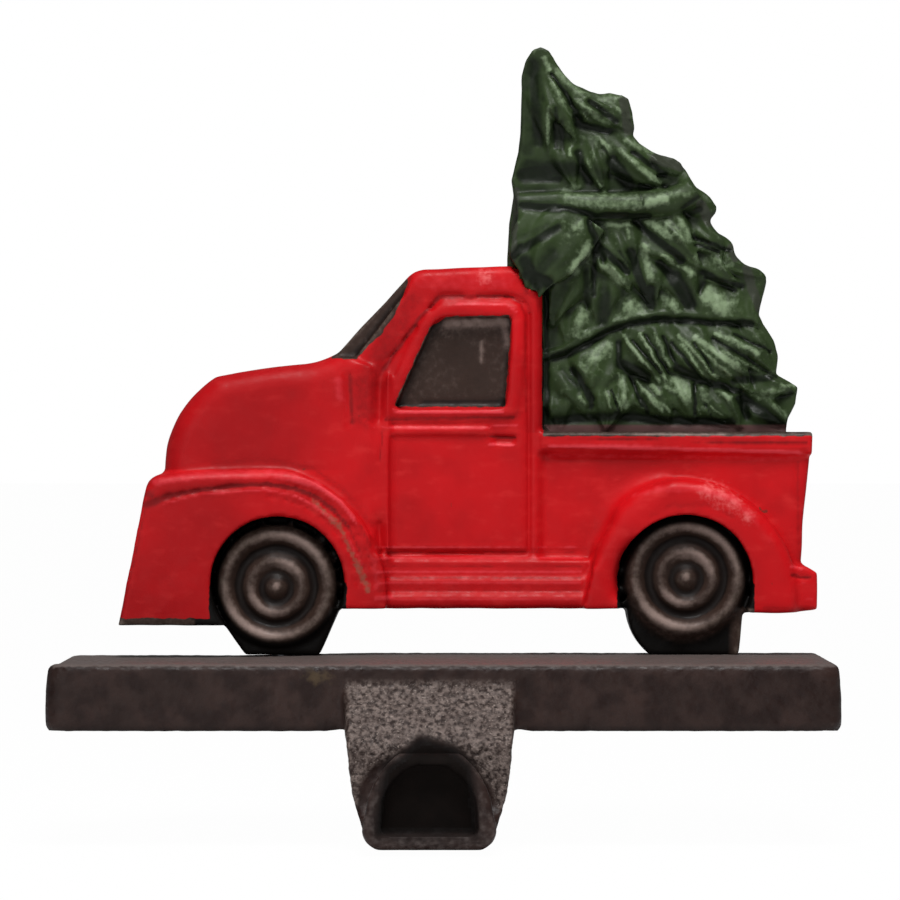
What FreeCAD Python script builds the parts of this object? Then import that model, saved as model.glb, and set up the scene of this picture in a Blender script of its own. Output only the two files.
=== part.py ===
"""Cast-iron mantel stocking holder: a pickup truck with a fir tree on a heavy base with a hook.

Units are millimetres. X runs to the right as the truck is seen, Y runs away from the viewer and
Z runs up. The origin is where the mantel's top front edge lies: in the middle of the base's
width, on its underside and in the plane of its front face. The hook hangs below that edge.
"""
import FreeCAD, Part
import math
import os
import Sketcher
from types import SimpleNamespace

V = FreeCAD.Vector

# Each driving dimension of the holder, in millimetres or degrees.
SIZES = {
    # The base is an inverted tray of iron that stands on the mantel.
    "base_width": 160.0,
    "base_depth": 64.0,
    "base_height": 13.0,
    "base_draft": 3.0,
    "base_corner_radius": 3.0,
    "base_rim_radius": 1.2,
    "base_wall": 4.5,
    "base_top_thickness": 4.5,
    # The hook grows out of the base's front face and hangs in front of the mantel.
    "hook_shift": -3.0,
    "hook_width": 34.0,
    "hook_foot_width": 25.0,
    "hook_foot_radius": 3.5,
    "hook_drop": 23.0,
    "hook_root_height": 8.5,
    "hook_neck_thickness": 9.0,
    "hook_throat_width": 9.0,
    "hook_tip_thickness": 6.0,
    "hook_floor_thickness": 5.5,
    "hook_tip_below_edge": 3.5,
    "hook_tip_width": 23.0,
    "hook_crown_width": 10.0,
    "hook_heel_radius": 4.5,
    "hook_dish_width": 18.4,
    "hook_dish_depth": 4.0,
    "hook_dish_rim": 3.0,
    # The truck is a one-sided relief, flat at the back, standing on the base's rear edge.
    "truck_length": 146.8,
    "truck_shift": 4.9,
    "front_overhang": 33.5,
    "wheelbase": 85.6,
    # Heights over the top of the base.
    "sill_height": 9.8,
    "front_skirt_height": 6.3,
    "rear_skirt_height": 8.9,
    "wheel_height": 15.2,
    "fender_height": 38.9,
    "rear_fender_height": 36.8,
    "rail_height": 46.9,
    "belt_height": 47.2,
    "hood_height": 61.0,
    "roof_height": 81.8,
    # Stations along the truck from its front end.
    "nose_station": 8.8,
    "cowl_station": 43.6,
    "door_front_station": 54.8,
    "roof_front_station": 65.0,
    "door_back_station": 85.6,
    "cab_back_station": 89.1,
    # Thicknesses of the relief, from its flat back to the face that is seen.
    "cab_thickness": 13.5,
    "hood_thickness": 15.0,
    "bed_thickness": 12.0,
    "rail_thickness": 14.0,
    "fender_thickness": 18.0,
    "board_thickness": 16.5,
    "bumper_thickness": 16.0,
    "arch_floor_thickness": 6.0,
    "windshield_thickness": 11.0,
    # Roundings and small relief.
    "fender_round": 2.4,
    "hood_round": 4.5,
    "cab_round": 2.2,
    "bed_round": 1.2,
    "trim_round": 0.9,
    "arch_radius": 14.1,
    "fender_sweep": 6.6,
    "rib_pitch": 1.7,
    "rib_width": 0.8,
    "rib_depth": 0.7,
    "door_groove_width": 1.2,
    "door_groove_depth": 0.9,
    "glass_depth": 2.8,
    "bead_width": 2.4,
    "bead_rise": 0.8,
    "rail_depth": 4.2,
    "lip_height": 1.5,
    "lip_groove": 1.1,
    "board_step": 3.6,
    # The wheels are dished discs cast into their arches.
    "wheel_radius": 12.9,
    "wheel_thickness": 15.5,
    "rim_radius": 8.3,
    "hub_radius": 5.4,
    "dish_depth": 2.1,
    # The two lugs behind the wheels stand on the base and take the screws.
    "lug_thickness": 13.0,
    "front_lug_foot": 15.6,
    "rear_lug_foot": 18.9,
    # The back is cored out, within a wall.
    "core_wall": 5.0,
    "core_depth": 7.0,
    # The tree stands in the truck's bed, its foot hidden by the rail.
    "tree_height": 82.0,
    "tree_width": 60.5,
    "tree_overlap": 6.2,
    "tree_thickness": 9.6,
    "bough_rise": 3.6,
    "bough_root_depth": 0.7,
    "bough_sink": 1.2,
    "needle_groove": 0.6,
    "rope_width": 5.6,
    "rope_rise": 3.0,
    "cord_width": 2.2,
    "cord_rise": 1.0,
    # The screws pass up through bosses in the base into the lugs.
    "screw_radius": 2.4,
    "screw_length": 17.0,
    "head_radius": 4.0,
    "head_height": 3.0,
    "screw_inset": 7.0,
    "screw_clearance": 0.3,
    "thread_clearance": 0.05,
    "screw_end_gap": 1.5,
    "boss_radius": 5.6,
    "boss_lift": 0.6,
    "seat_thickness": 8.4,
}

# How far a cutter runs past the face that it cuts.
REACH = 14.0
# How far one piece of the casting runs into the next, so that they fuse.
LAP = 2.0


class Length:
    """A length that knows its value and the sheet formula that gives it."""

    def __init__(self, text, number):
        self.text = text
        self.number = number

    def __add__(self, other):
        return Length(f"({self.text} + {text_of(other)})", self.number + number_of(other))

    def __sub__(self, other):
        return Length(f"({self.text} - {text_of(other)})", self.number - number_of(other))

    def __mul__(self, other):
        return Length(f"({self.text} * {text_of(other)})", self.number * number_of(other))

    def __truediv__(self, other):
        return Length(f"({self.text} / {text_of(other)})", self.number / number_of(other))

    def __neg__(self):
        return Length(f"(-{self.text})", -self.number)


def text_of(value):
    return value.text if isinstance(value, Length) else f"({value})"


def number_of(value):
    return value.number if isinstance(value, Length) else value


doc = FreeCAD.newDocument("mantel_stocking_holder")
sheet = doc.addObject("Spreadsheet::Sheet", "dims")
for row, (alias, number) in enumerate(SIZES.items(), start=1):
    sheet.set(f"A{row}", alias)
    sheet.set(f"B{row}", str(number))
    sheet.setAlias(f"B{row}", alias)
doc.recompute()
dim = SimpleNamespace(**{alias: Length(f"dims.{alias}", number) for alias, number in SIZES.items()})

# Places that more than one piece shares.
back = dim.base_depth
deck = dim.base_height
front_end = dim.truck_shift - dim.truck_length / 2
tail_end = front_end + dim.truck_length
front_axle = front_end + dim.front_overhang
rear_axle = front_axle + dim.wheelbase
axle_z = deck + dim.wheel_height
sill_z = deck + dim.sill_height
fender_z = deck + dim.fender_height
rail_z = deck + dim.rail_height
belt_z = deck + dim.belt_height
hood_z = deck + dim.hood_height
roof_z = deck + dim.roof_height
nose_x = front_end + dim.nose_station
cowl_x = front_end + dim.cowl_station
door_front_x = front_end + dim.door_front_station
roof_front_x = front_end + dim.roof_front_station
door_back_x = front_end + dim.door_back_station
cab_back_x = front_end + dim.cab_back_station
tree_left_x = cab_back_x - dim.tree_overlap


def bind(target, path, value):
    """Set a property or a constraint from the formula of a length."""
    target.setExpression(path, text_of(value))


def draw_loop(sketch, corners):
    """Close a loop of lines and arcs.

    Each corner is its two coordinates and, where an arc leads on to the next corner, the height
    of that arc over its chord, positive where it bulges out of the loop.
    """
    first = len(sketch.Geometry)
    corners = [(c[0], c[1], c[2] if len(c) > 2 else 0.0) for c in corners]
    points = [V(number_of(x), number_of(z), 0) for x, z, _ in corners]
    turning = sum(a.x * b.y - b.x * a.y for a, b in zip(points, points[1:] + points[:1]))
    side = 1 if turning > 0 else -1
    ends = []
    for index, a in enumerate(points):
        b = points[(index + 1) % len(points)]
        height = number_of(corners[index][2]) * side
        if height == 0.0:
            sketch.addGeometry(Part.LineSegment(a, b), False)
            ends.append((1, 2))
            continue
        chord = b - a
        middle = (a + b) * 0.5 + V(chord.y, -chord.x, 0).normalize() * height
        if height > 0:
            sketch.addGeometry(Part.Arc(a, middle, b), False)
            ends.append((1, 2))
        else:
            sketch.addGeometry(Part.Arc(b, middle, a), False)
            ends.append((2, 1))
    for index, (x, z, rise) in enumerate(corners):
        here = first + index
        following = (index + 1) % len(corners)
        start, end = ends[index]
        meeting = (here, end, first + following, ends[following][0])
        sketch.addConstraint(Sketcher.Constraint("Coincident", *meeting))
        for kind, value in (("DistanceX", x), ("DistanceY", z)):
            fixed = Sketcher.Constraint(kind, -1, 1, here, start, number_of(value))
            bind(sketch, f"Constraints[{sketch.addConstraint(fixed)}]", value)
        if number_of(rise) != 0.0:
            x2, z2, _ = corners[following]
            height = size(rise) if number_of(rise) > 0 else -size(rise)
            chord_squared = square(x, x2) + square(z, z2)
            radius = (chord_squared / 4 + height * height) / (height * 2)
            curve = Sketcher.Constraint("Radius", here, radius.number)
            bind(sketch, f"Constraints[{sketch.addConstraint(curve)}]", radius)


def size(value):
    """A plain number as a length, so that it can take part in a formula."""
    return value if isinstance(value, Length) else Length(f"({value})", value)


def square(first, second):
    """The square of the difference of two lengths."""
    difference = size(first) - second
    return difference * difference


def sketch_in(body, role, offset, up=0.0):
    """A sketch on one of a body's origin planes, moved along the plane's normal."""
    sketch = body.newObject("Sketcher::SketchObject", f"{body.Name}_sketch")
    plane = next(f for f in body.Origin.OriginFeatures if f.Role == role)
    sketch.AttachmentSupport = [(plane, "")]
    sketch.MapMode = "FlatFace"
    bind(sketch, "AttachmentOffset.Base.z", offset)
    bind(sketch, "AttachmentOffset.Base.y", up)
    doc.recompute()
    return sketch


def edge_names(shape, keep):
    """The names of the edges whose ends and middle all satisfy a test on a point."""
    names = []
    for index, edge in enumerate(shape.Edges, start=1):
        middle = edge.valueAt((edge.FirstParameter + edge.LastParameter) / 2)
        points = [vertex.Point for vertex in edge.Vertexes] + [middle]
        if all(keep(point) for point in points):
            names.append(f"Edge{index}")
    return names


def round_edges(body, radius, keep):
    """Round the chosen edges of a body's last feature."""
    base = body.Tip
    fillet = body.newObject("PartDesign::Fillet", f"{body.Name}_round")
    fillet.Base = (base, edge_names(base.Shape, keep))
    bind(fillet, "Radius", radius)
    doc.recompute()
    return fillet


def layer(name, loops, thickness, floor=0.0, radius=None, keep=None):
    """A plate of the relief, from a plane at or before its flat back towards the viewer."""
    body = doc.addObject("PartDesign::Body", name)
    sketch = sketch_in(body, "XZ_Plane", -(back - floor))
    for corners in loops:
        draw_loop(sketch, corners)
    doc.recompute()
    pad = body.newObject("PartDesign::Pad", f"{name}_pad")
    pad.Profile = sketch
    bind(pad, "Length", thickness)
    doc.recompute()
    if radius is not None:
        face_y = number_of(back - floor) - number_of(thickness)
        keep = keep or (lambda point: True)
        round_edges(body, radius, lambda point: abs(point.y - face_y) < 0.01 and keep(point))
    return body


def cutter(name, loops, floor):
    """A tool that cuts the relief from the front down to a floor over its flat back."""
    return layer(name, loops, dim.fender_thickness + REACH - floor, floor)


def band(name, corners, width, top, floor=0.0):
    """A strip of even width outside a closed outline, from a floor to a height over the back."""
    sketch = doc.addObject("Sketcher::SketchObject", f"{name}_sketch")
    sketch.Placement = FreeCAD.Placement(V(0, 0, 0), FreeCAD.Rotation(V(1, 0, 0), 90))
    bind(sketch, "Placement.Base.y", back - floor)
    draw_loop(sketch, corners)
    ring = doc.addObject("Part::Offset2D", f"{name}_ring")
    ring.Source = sketch
    bind(ring, "Value", width)
    ring.Fill = True
    strip = doc.addObject("Part::Extrusion", name)
    strip.Base = ring
    strip.DirMode = "Custom"
    strip.Dir = V(0, -1, 0)
    bind(strip, "LengthFwd", top - floor)
    strip.Solid = True
    doc.recompute()
    return strip


def fuse(name, shapes):
    joined = doc.addObject("Part::MultiFuse", name)
    joined.Shapes = shapes
    doc.recompute()
    return joined


def cut(name, base, tool):
    rest = doc.addObject("Part::Cut", name)
    rest.Base = base
    rest.Tool = tool
    doc.recompute()
    return rest



def make_base():
    """The base and the hook, which are one casting."""
    body = doc.addObject("PartDesign::Body", "base_with_hook")
    half = dim.base_width / 2
    plan = sketch_in(body, "XY_Plane", 0.0)
    draw_loop(plan, [(-half, 0.0), (half, 0.0), (half, back), (-half, back)])
    block = body.newObject("PartDesign::Pad", "base_block")
    block.Profile = plan
    bind(block, "Length", deck)
    bind(block, "TaperAngle", -dim.base_draft)
    doc.recompute()
    corners = [edge for edge in block.Shape.Edges if abs(edge.tangentAt(edge.FirstParameter).z) > 0.9]
    names = [f"Edge{i}" for i, edge in enumerate(block.Shape.Edges, 1) for c in corners if edge.isSame(c)]
    posts = body.newObject("PartDesign::Fillet", "base_corners")
    posts.Base = (block, names)
    bind(posts, "Radius", dim.base_corner_radius)
    doc.recompute()
    round_edges(body, dim.base_rim_radius, lambda point: abs(point.z - deck.number) < 0.01)
    add_hook(body)
    hollow_base(body)
    return body


def add_hook(body):
    """A wide J-shaped tongue with a tapered front outline, an arched tip and a dished face."""
    neck_y = -dim.hook_neck_thickness
    throat_y = neck_y - dim.hook_throat_width
    face_y = throat_y - dim.hook_tip_thickness
    foot_z = -dim.hook_drop
    floor_z = foot_z + dim.hook_floor_thickness
    bend = dim.hook_throat_width / 2
    crown_z = -dim.hook_tip_below_edge
    heel = dim.hook_heel_radius
    heel_rise = heel * (1 - math.sqrt(0.5))
    side = sketch_in(body, "YZ_Plane", dim.hook_shift)
    draw_loop(side, [
        (0.0, foot_z + heel),
        (0.0, 0.0),
        (LAP, LAP / 2),
        (LAP, dim.hook_root_height),
        (LAP / 4, dim.hook_root_height, -0.4),
        (neck_y / 3, dim.hook_root_height / 2),
        (neck_y + 0.6, crown_z + 0.5),
        (neck_y, floor_z + bend, -bend * 0.96),
        (throat_y, floor_z + bend),
        (throat_y - 0.8, crown_z - 1.2, 1.2),
        (face_y + 0.6, crown_z - 1.8),
        (face_y, foot_z + heel, heel_rise),
        (face_y + heel, foot_z),
        (-heel, foot_z, heel_rise),
    ])
    tongue = body.newObject("PartDesign::Pad", "hook_tongue")
    tongue.Profile = side
    bind(tongue, "Length", dim.hook_width)
    tongue.Midplane = True
    doc.recompute()

    root = dim.hook_width / 2
    foot = dim.hook_foot_width / 2
    toe = dim.hook_foot_radius
    outside = root + LAP
    flanks = sketch_in(body, "XZ_Plane", 0.0)
    for hand in (1, -1):
        x = [dim.hook_shift + reach * hand for reach in (root, outside, foot - toe * 0.8, foot)]
        loop = [
            (x[0], 0.0, -0.5),
            (x[3], foot_z + toe, -toe * 0.25),
            (x[2], foot_z - LAP / 4),
            (x[1], foot_z - LAP / 4),
            (x[1], 0.0),
        ]
        draw_loop(flanks, loop)
    trim = body.newObject("PartDesign::Pocket", "hook_taper")
    trim.Profile = flanks
    trim.Type = "ThroughAll"
    trim.Midplane = True
    doc.recompute()

    tip = dim.hook_tip_width / 2
    crown = dim.hook_crown_width / 2
    shoulders = sketch_in(body, "XZ_Plane", -(throat_y + bend))
    spring_z = floor_z + bend
    for hand in (1, -1):
        x = [dim.hook_shift + reach * hand for reach in (foot, tip, crown, outside)]
        draw_loop(shoulders, [
            (x[0], floor_z - 1.5),
            (x[1], spring_z, -1.2),
            (x[2], crown_z + 0.4),
            (x[3], crown_z + 0.4),
            (x[3], floor_z - 1.5),
        ])
    arch = body.newObject("PartDesign::Pocket", "hook_arch")
    arch.Profile = shoulders
    bind(arch, "Length", dim.hook_tip_thickness + dim.hook_throat_width)
    arch.Reversed = True
    doc.recompute()

    dish = dim.hook_dish_width / 2
    face = sketch_in(body, "XZ_Plane", -face_y)
    dish_top_z = crown_z - dim.hook_dish_rim * 0.8
    draw_loop(face, [
        (dim.hook_shift - dish, foot_z + dim.hook_dish_rim),
        (dim.hook_shift + dish, foot_z + dim.hook_dish_rim),
        (dim.hook_shift + dish * 0.95, spring_z, 1.2),
        (dim.hook_shift + crown * 0.5, dish_top_z),
        (dim.hook_shift - crown * 0.5, dish_top_z, 1.2),
        (dim.hook_shift - dish * 0.95, spring_z),
    ])
    hollow = body.newObject("PartDesign::Pocket", "hook_dish")
    hollow.Profile = face
    bind(hollow, "Length", dim.hook_dish_depth)
    doc.recompute()


def hollow_base(body):
    """Cast the base hollow from below, with a boss and a screw hole under each lug."""
    half = dim.base_width / 2 - dim.base_wall
    near = dim.base_wall
    far = back - dim.base_wall
    tray = sketch_in(body, "XY_Plane", 0.0)
    draw_loop(tray, [(-half, near), (half, near), (half, far), (-half, far)])
    pocket = body.newObject("PartDesign::Pocket", "base_hollow")
    pocket.Profile = tray
    bind(pocket, "Length", deck - dim.base_top_thickness)
    pocket.Reversed = True
    doc.recompute()
    round_post(body, "base_bosses", dim.boss_radius, dim.boss_lift, deck - dim.base_top_thickness / 2)
    hole_radius = dim.screw_radius + dim.screw_clearance
    bore(body, "base_holes", hole_radius, -LAP, deck + LAP)
    bore(body, "base_seats", dim.head_radius + dim.screw_clearance, -LAP, seat_z)


def circles(body, radius, bottom):
    """A circle about each screw, on a level plane."""
    sketch = sketch_in(body, "XY_Plane", bottom)
    for index, x in enumerate(screw_places):
        sketch.addGeometry(Part.Circle(V(x.number, screw_y.number, 0), V(0, 0, 1), number_of(radius)), False)
        for kind, value in (("DistanceX", x), ("DistanceY", screw_y)):
            fixed = Sketcher.Constraint(kind, -1, 1, index, 3, number_of(value))
            bind(sketch, f"Constraints[{sketch.addConstraint(fixed)}]", value)
        span = Sketcher.Constraint("Radius", index, number_of(radius))
        bind(sketch, f"Constraints[{sketch.addConstraint(span)}]", radius)
    doc.recompute()
    return sketch


def round_post(body, name, radius, bottom, top):
    """A round post about each screw."""
    post = body.newObject("PartDesign::Pad", name)
    post.Profile = circles(body, radius, bottom)
    bind(post, "Length", top - bottom)
    doc.recompute()


def bore(body, name, radius, bottom, top):
    """A round hole about each screw, from one level up to another."""
    hole = body.newObject("PartDesign::Pocket", name)
    hole.Profile = circles(body, radius, bottom)
    bind(hole, "Length", top - bottom)
    hole.Reversed = True
    doc.recompute()


def make_screws():
    """Two pan-headed screws that hold the truck down, driven up from under the base."""
    solids = []
    for index, x in enumerate(screw_places, start=1):
        head = doc.addObject("Part::Cylinder", f"screw_{index}_head")
        shank = doc.addObject("Part::Cylinder", f"screw_{index}_shank")
        for piece, radius, bottom, height in (
                (head, dim.head_radius, seat_z - dim.head_height, dim.head_height),
                (shank, dim.screw_radius, seat_z - LAP / 2, dim.screw_length + LAP / 2)):
            bind(piece, "Radius", radius)
            bind(piece, "Height", height)
            bind(piece, "Placement.Base.x", x)
            bind(piece, "Placement.Base.y", screw_y)
            bind(piece, "Placement.Base.z", bottom)
        solids.append(fuse(f"screw_{index}", [head, shank]))
    pair = doc.addObject("Part::Compound", "fixing_screws")
    pair.Links = solids
    doc.recompute()
    return pair


def make_truck_layers():
    """The plates of the truck's relief, each with its own thickness and front rounding."""
    front_skirt_z = deck + dim.front_skirt_height
    rear_skirt_z = deck + dim.rear_skirt_height
    fender_foot_x = door_front_x + 1.6
    shell = layer("hood_and_cowl", [[
        (nose_x + 1.0, fender_z - 4.0),
        (front_axle, sill_z),
        (door_front_x + LAP, sill_z),
        (door_front_x + LAP, hood_z - 2.0),
        (cowl_x + 2.4, hood_z + 2.6, -0.5),
        (cowl_x - 6.0, hood_z + 0.1, 0.3),
        (nose_x + 11.5, hood_z - 2.5, 1.8),
        (nose_x + 1.1, hood_z - 17.0, 0.3),
    ]], dim.hood_thickness, radius=dim.hood_round,
        keep=lambda point: point.z > number_of(fender_z) - 2.0 and point.x < number_of(cowl_x) + 1.0)
    cab = layer("cab", [[
        (door_front_x - LAP, sill_z),
        (cab_back_x, sill_z),
        (cab_back_x, roof_z - 4.0, 1.2),
        (cab_back_x - 4.5, roof_z + 0.2),
        (roof_front_x, roof_z - 0.6, 0.5),
        (roof_front_x - 4.4, roof_z - 2.4),
        (cowl_x + 2.4, hood_z + 2.6),
        (cowl_x + 2.6, hood_z - 8.0),
        (door_front_x - LAP, hood_z - 8.0),
    ]], dim.cab_thickness, radius=dim.cab_round,
        keep=lambda point: point.z > number_of(hood_z) + 2.0)
    bed = layer("bed_side", [[
        (cab_back_x - LAP, sill_z),
        (tail_end - 3.4, rear_skirt_z + 1.0),
        (tail_end - 2.8, deck + 28.0),
        (tail_end - 1.0, rail_z - 1.5),
        (tail_end - 1.2, rail_z),
        (cab_back_x - LAP, rail_z),
    ]], dim.bed_thickness, radius=dim.bed_round, keep=lambda point: point.x > number_of(cab_back_x))
    rail = layer("bed_rail", [[
        (cab_back_x - 0.6, rail_z - dim.rail_depth),
        (tail_end - 1.0, rail_z - dim.rail_depth),
        (tail_end - 0.8, rail_z),
        (cab_back_x - 0.6, rail_z),
    ]], dim.rail_thickness, radius=dim.trim_round)
    front_fender = layer("front_fender", [[
        (front_end, front_skirt_z),
        (front_axle - 5.0, front_skirt_z),
        (front_axle - 5.0, sill_z),
        (fender_foot_x, sill_z, dim.fender_sweep),
        (front_axle + 1.3, fender_z, 0.4),
        (nose_x + 0.5, fender_z - 0.9, 0.6),
        (front_end + 5.9, fender_z - 3.0),
    ]], dim.fender_thickness, radius=dim.fender_round, keep=lambda point: point.z > sill_z.number + 0.5)
    rear_fender = layer("rear_fender", [[
        (rear_axle - 19.5, sill_z),
        (rear_axle + 5.0, sill_z),
        (rear_axle + 5.0, rear_skirt_z),
        (rear_axle + 23.4, rear_skirt_z),
        (rear_axle + 23.2, deck + 16.2, 4.8),
        (rear_axle + 1.9, deck + dim.rear_fender_height, 2.2),
        (rear_axle - 14.7, deck + 31.0),
    ]], dim.fender_thickness, radius=dim.fender_round, keep=lambda point: point.z > sill_z.number + 0.5)
    bumper = layer("rear_bumper", [[
        (tail_end - 6.0, rear_skirt_z),
        (tail_end, rear_skirt_z + 0.6),
        (tail_end, rear_skirt_z + 8.4),
        (tail_end - 2.6, rear_skirt_z + 10.0),
        (tail_end - 6.0, rear_skirt_z + 10.0),
    ]], dim.bumper_thickness, radius=dim.trim_round)
    boards = []
    for step, growth in enumerate((1.0, 2.0, 3.0)):
        top_z = sill_z + dim.board_step * (3 - step)
        boards.append(layer(f"running_board_{step + 1}", [[
            (door_front_x - 0.6, sill_z),
            (rear_axle - 18.0, sill_z),
            (rear_axle - 18.0, top_z - 0.5),
            (door_front_x - 0.6, top_z - 0.5),
        ]], dim.cab_thickness + (dim.board_thickness - dim.cab_thickness) * (growth / 3.0),
            radius=dim.trim_round))
    return [shell, cab, bed, rail, front_fender, rear_fender, bumper] + boards


def make_lugs():
    """The two feet behind the wheels that stand on the base."""
    return [
        layer("front_lug", [[
            (front_screw_x - dim.front_lug_foot / 2, deck),
            (front_screw_x + dim.front_lug_foot / 2, deck),
            (front_axle + 13.4, sill_z + 1.0),
            (front_axle - 14.8, sill_z + 1.0),
        ]], dim.lug_thickness),
        layer("rear_lug", [[
            (rear_screw_x - dim.rear_lug_foot * 0.55, deck),
            (rear_screw_x + dim.rear_lug_foot * 0.45, deck),
            (rear_axle + 12.4, sill_z + 2.0),
            (rear_axle - 12.6, sill_z + 1.0, 1.2),
        ]], dim.lug_thickness),
    ]


def wheel(name, axle_x):
    """A turned wheel: a round-shouldered tyre, a groove, a ring and a low dome at its centre."""
    body = doc.addObject("PartDesign::Body", name)
    sketch = sketch_in(body, "YZ_Plane", axle_x, axle_z)
    face = back - dim.wheel_thickness
    groove = face + dim.dish_depth
    draw_loop(sketch, [
        (face + 0.8, 0.0),
        (back, 0.0),
        (back, dim.wheel_radius),
        (face + 2.6, dim.wheel_radius, 0.7),
        (face, dim.wheel_radius - 2.3),
        (groove, dim.rim_radius),
        (face + 0.8, dim.hub_radius),
        (groove, dim.hub_radius - 2.2),
        (face + 1.2, dim.hub_radius - 3.4),
    ])
    turned = body.newObject("PartDesign::Revolution", f"{name}_turned")
    turned.Profile = sketch
    turned.ReferenceAxis = (sketch, ["H_Axis"])
    turned.Angle = 360.0
    doc.recompute()
    return body


screw_y = back - dim.screw_inset
front_screw_x = front_axle + 0.8
rear_screw_x = rear_axle + 2.8
screw_places = (front_screw_x, rear_screw_x)
seat_z = deck - dim.seat_thickness

def make_truck_cutters():
    """What is cut into the plates: arches, glass, door gap, moulding lines and the cored back."""
    rear_skirt_z = deck + dim.rear_skirt_height
    tools = []
    for name, x in (("front_arch", front_axle), ("rear_arch", rear_axle)):
        tools.append(disc(name, x, dim.arch_radius, dim.fender_thickness + REACH, dim.arch_floor_thickness))
    tools.append(cutter("windshield_cut", [[
        (cowl_x + 6.0, hood_z + 1.4),
        (roof_front_x - 4.8, roof_z - 5.6),
        (roof_front_x - 3.6, roof_z - 2.4),
        (roof_front_x - 12.0, roof_z + 2.0),
        (cowl_x - 3.0, hood_z + 3.4),
        (cowl_x + 2.2, hood_z + 1.6),
    ]], dim.windshield_thickness))
    tools.append(cutter("glass_cut", [window_corners()], dim.cab_thickness - dim.glass_depth))
    tools.append(band("door_gap", door_corners(), dim.door_groove_width,
                      dim.cab_thickness + REACH / 4, dim.cab_thickness - dim.door_groove_depth))
    tools.append(cutter("hood_seam", [[
        (door_front_x - 7.0, belt_z + 0.6),
        (door_front_x - 6.0, belt_z + 0.6),
        (door_front_x - 6.6, hood_z - 1.4),
        (door_front_x - 7.6, hood_z - 1.4),
    ]], dim.hood_thickness - dim.rib_depth))
    tools += [cutter(f"fender_line_{line}", [fender_line(line)], dim.fender_thickness - dim.rib_depth)
              for line in (1, 2, 3)]
    tools.append(cutter("fender_crease", [[
        (front_axle - 25.4, fender_z - 6.7),
        (front_axle - 16.0, fender_z - 4.8),
        (front_axle - 2.0, fender_z - 4.0),
        (front_axle - 2.0, fender_z - 3.1),
        (front_axle - 16.0, fender_z - 3.9),
        (front_axle - 25.4, fender_z - 5.8),
    ]], dim.fender_thickness - dim.rib_depth))
    tools.append(cutter("handle_notch", [[
        (door_back_x - 7.2, belt_z - 3.1),
        (door_back_x - 2.0, belt_z - 3.1),
        (door_back_x - 2.0, belt_z - 1.0),
        (door_back_x - 7.2, belt_z - 1.0),
    ]], dim.cab_thickness - dim.door_groove_depth))
    tools.append(cutter("rail_groove", [[
        (cab_back_x + 0.4, rail_z - dim.lip_height - dim.lip_groove),
        (tail_end - 2.0, rail_z - dim.lip_height - dim.lip_groove),
        (tail_end - 2.0, rail_z - dim.lip_height),
        (cab_back_x + 0.4, rail_z - dim.lip_height),
    ]], dim.bed_thickness + 0.4))
    tools.append(cutter("bumper_groove", [[
        (tail_end - 5.4, rear_skirt_z + 7.0),
        (tail_end - 1.6, rear_skirt_z + 7.0),
        (tail_end - 1.6, rear_skirt_z + 7.9),
        (tail_end - 5.4, rear_skirt_z + 7.9),
    ]], dim.bumper_thickness - dim.rib_depth))
    return tools + make_core_cuts()


def fender_line(line):
    """A moulding groove that follows the front fender's sweep, from its top down to its foot."""
    middle_x = front_axle - 3.9
    middle_z = deck + 12.5
    outer = dim.fender_height - 12.5 - dim.rib_pitch * line
    inner = outer - dim.rib_width
    start, end = math.radians(-5), math.radians(86)
    bulge = 1 - math.cos((end - start) / 2)
    return [
        (middle_x + outer * math.cos(start), middle_z + outer * math.sin(start), outer * bulge),
        (middle_x + outer * math.cos(end), middle_z + outer * math.sin(end)),
        (middle_x + inner * math.cos(end), middle_z + inner * math.sin(end), -(inner * bulge)),
        (middle_x + inner * math.cos(start), middle_z + inner * math.sin(start)),
    ]


def make_core_cuts():
    """The casting is cored from behind, so that its walls are of an even thickness."""
    wall = dim.core_wall
    low = sill_z + wall
    fender_top = fender_z + wall
    loops = {
        "cab_core": [
            (door_front_x + wall, low),
            (cab_back_x - wall, low),
            (cab_back_x - wall, roof_z - wall),
            (roof_front_x + wall / 2, roof_z - wall),
            (cowl_x + wall * 1.6, hood_z - wall / 2),
            (nose_x + wall * 2.4, hood_z - wall * 1.4),
            (nose_x + wall * 1.3, fender_top),
            (door_front_x + wall, fender_top),
        ],
        "bed_core": [
            (cab_back_x + wall, low),
            (rear_axle - dim.arch_radius - wall, low),
            (rear_axle - dim.arch_radius - wall, axle_z + dim.arch_radius),
            (rear_axle - wall, axle_z + dim.arch_radius + wall),
            (tail_end - wall * 1.6, axle_z + dim.arch_radius + wall),
            (tail_end - wall * 1.6, rail_z - wall),
            (cab_back_x + wall, rail_z - wall),
        ],
    }
    return [layer(name, [loop], dim.core_depth + LAP, floor=-size(LAP)) for name, loop in loops.items()]


def window_corners():
    """The side window's glass, with a raked front edge."""
    return [
        (door_front_x + 3.0, belt_z + 4.6),
        (door_back_x - 4.3, belt_z + 4.8, 0.2),
        (door_back_x - 3.0, roof_z - 11.6, 0.5),
        (door_back_x - 3.8, roof_z - 10.5),
        (door_front_x + 14.4, roof_z - 10.7, 0.5),
        (door_front_x + 10.8, roof_z - 12.8),
    ]


def door_corners():
    """The door, whose front edge rises from the sill and then follows the windshield pillar."""
    return [
        (door_front_x + 0.6, deck + 22.0),
        (door_back_x, deck + 21.6),
        (door_back_x, roof_z - 10.6, 1.0),
        (door_back_x - 3.4, roof_z - 7.0),
        (door_front_x + 13.4, roof_z - 6.6),
        (door_front_x + 0.7, hood_z - 1.2, 0.2),
    ]


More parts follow.
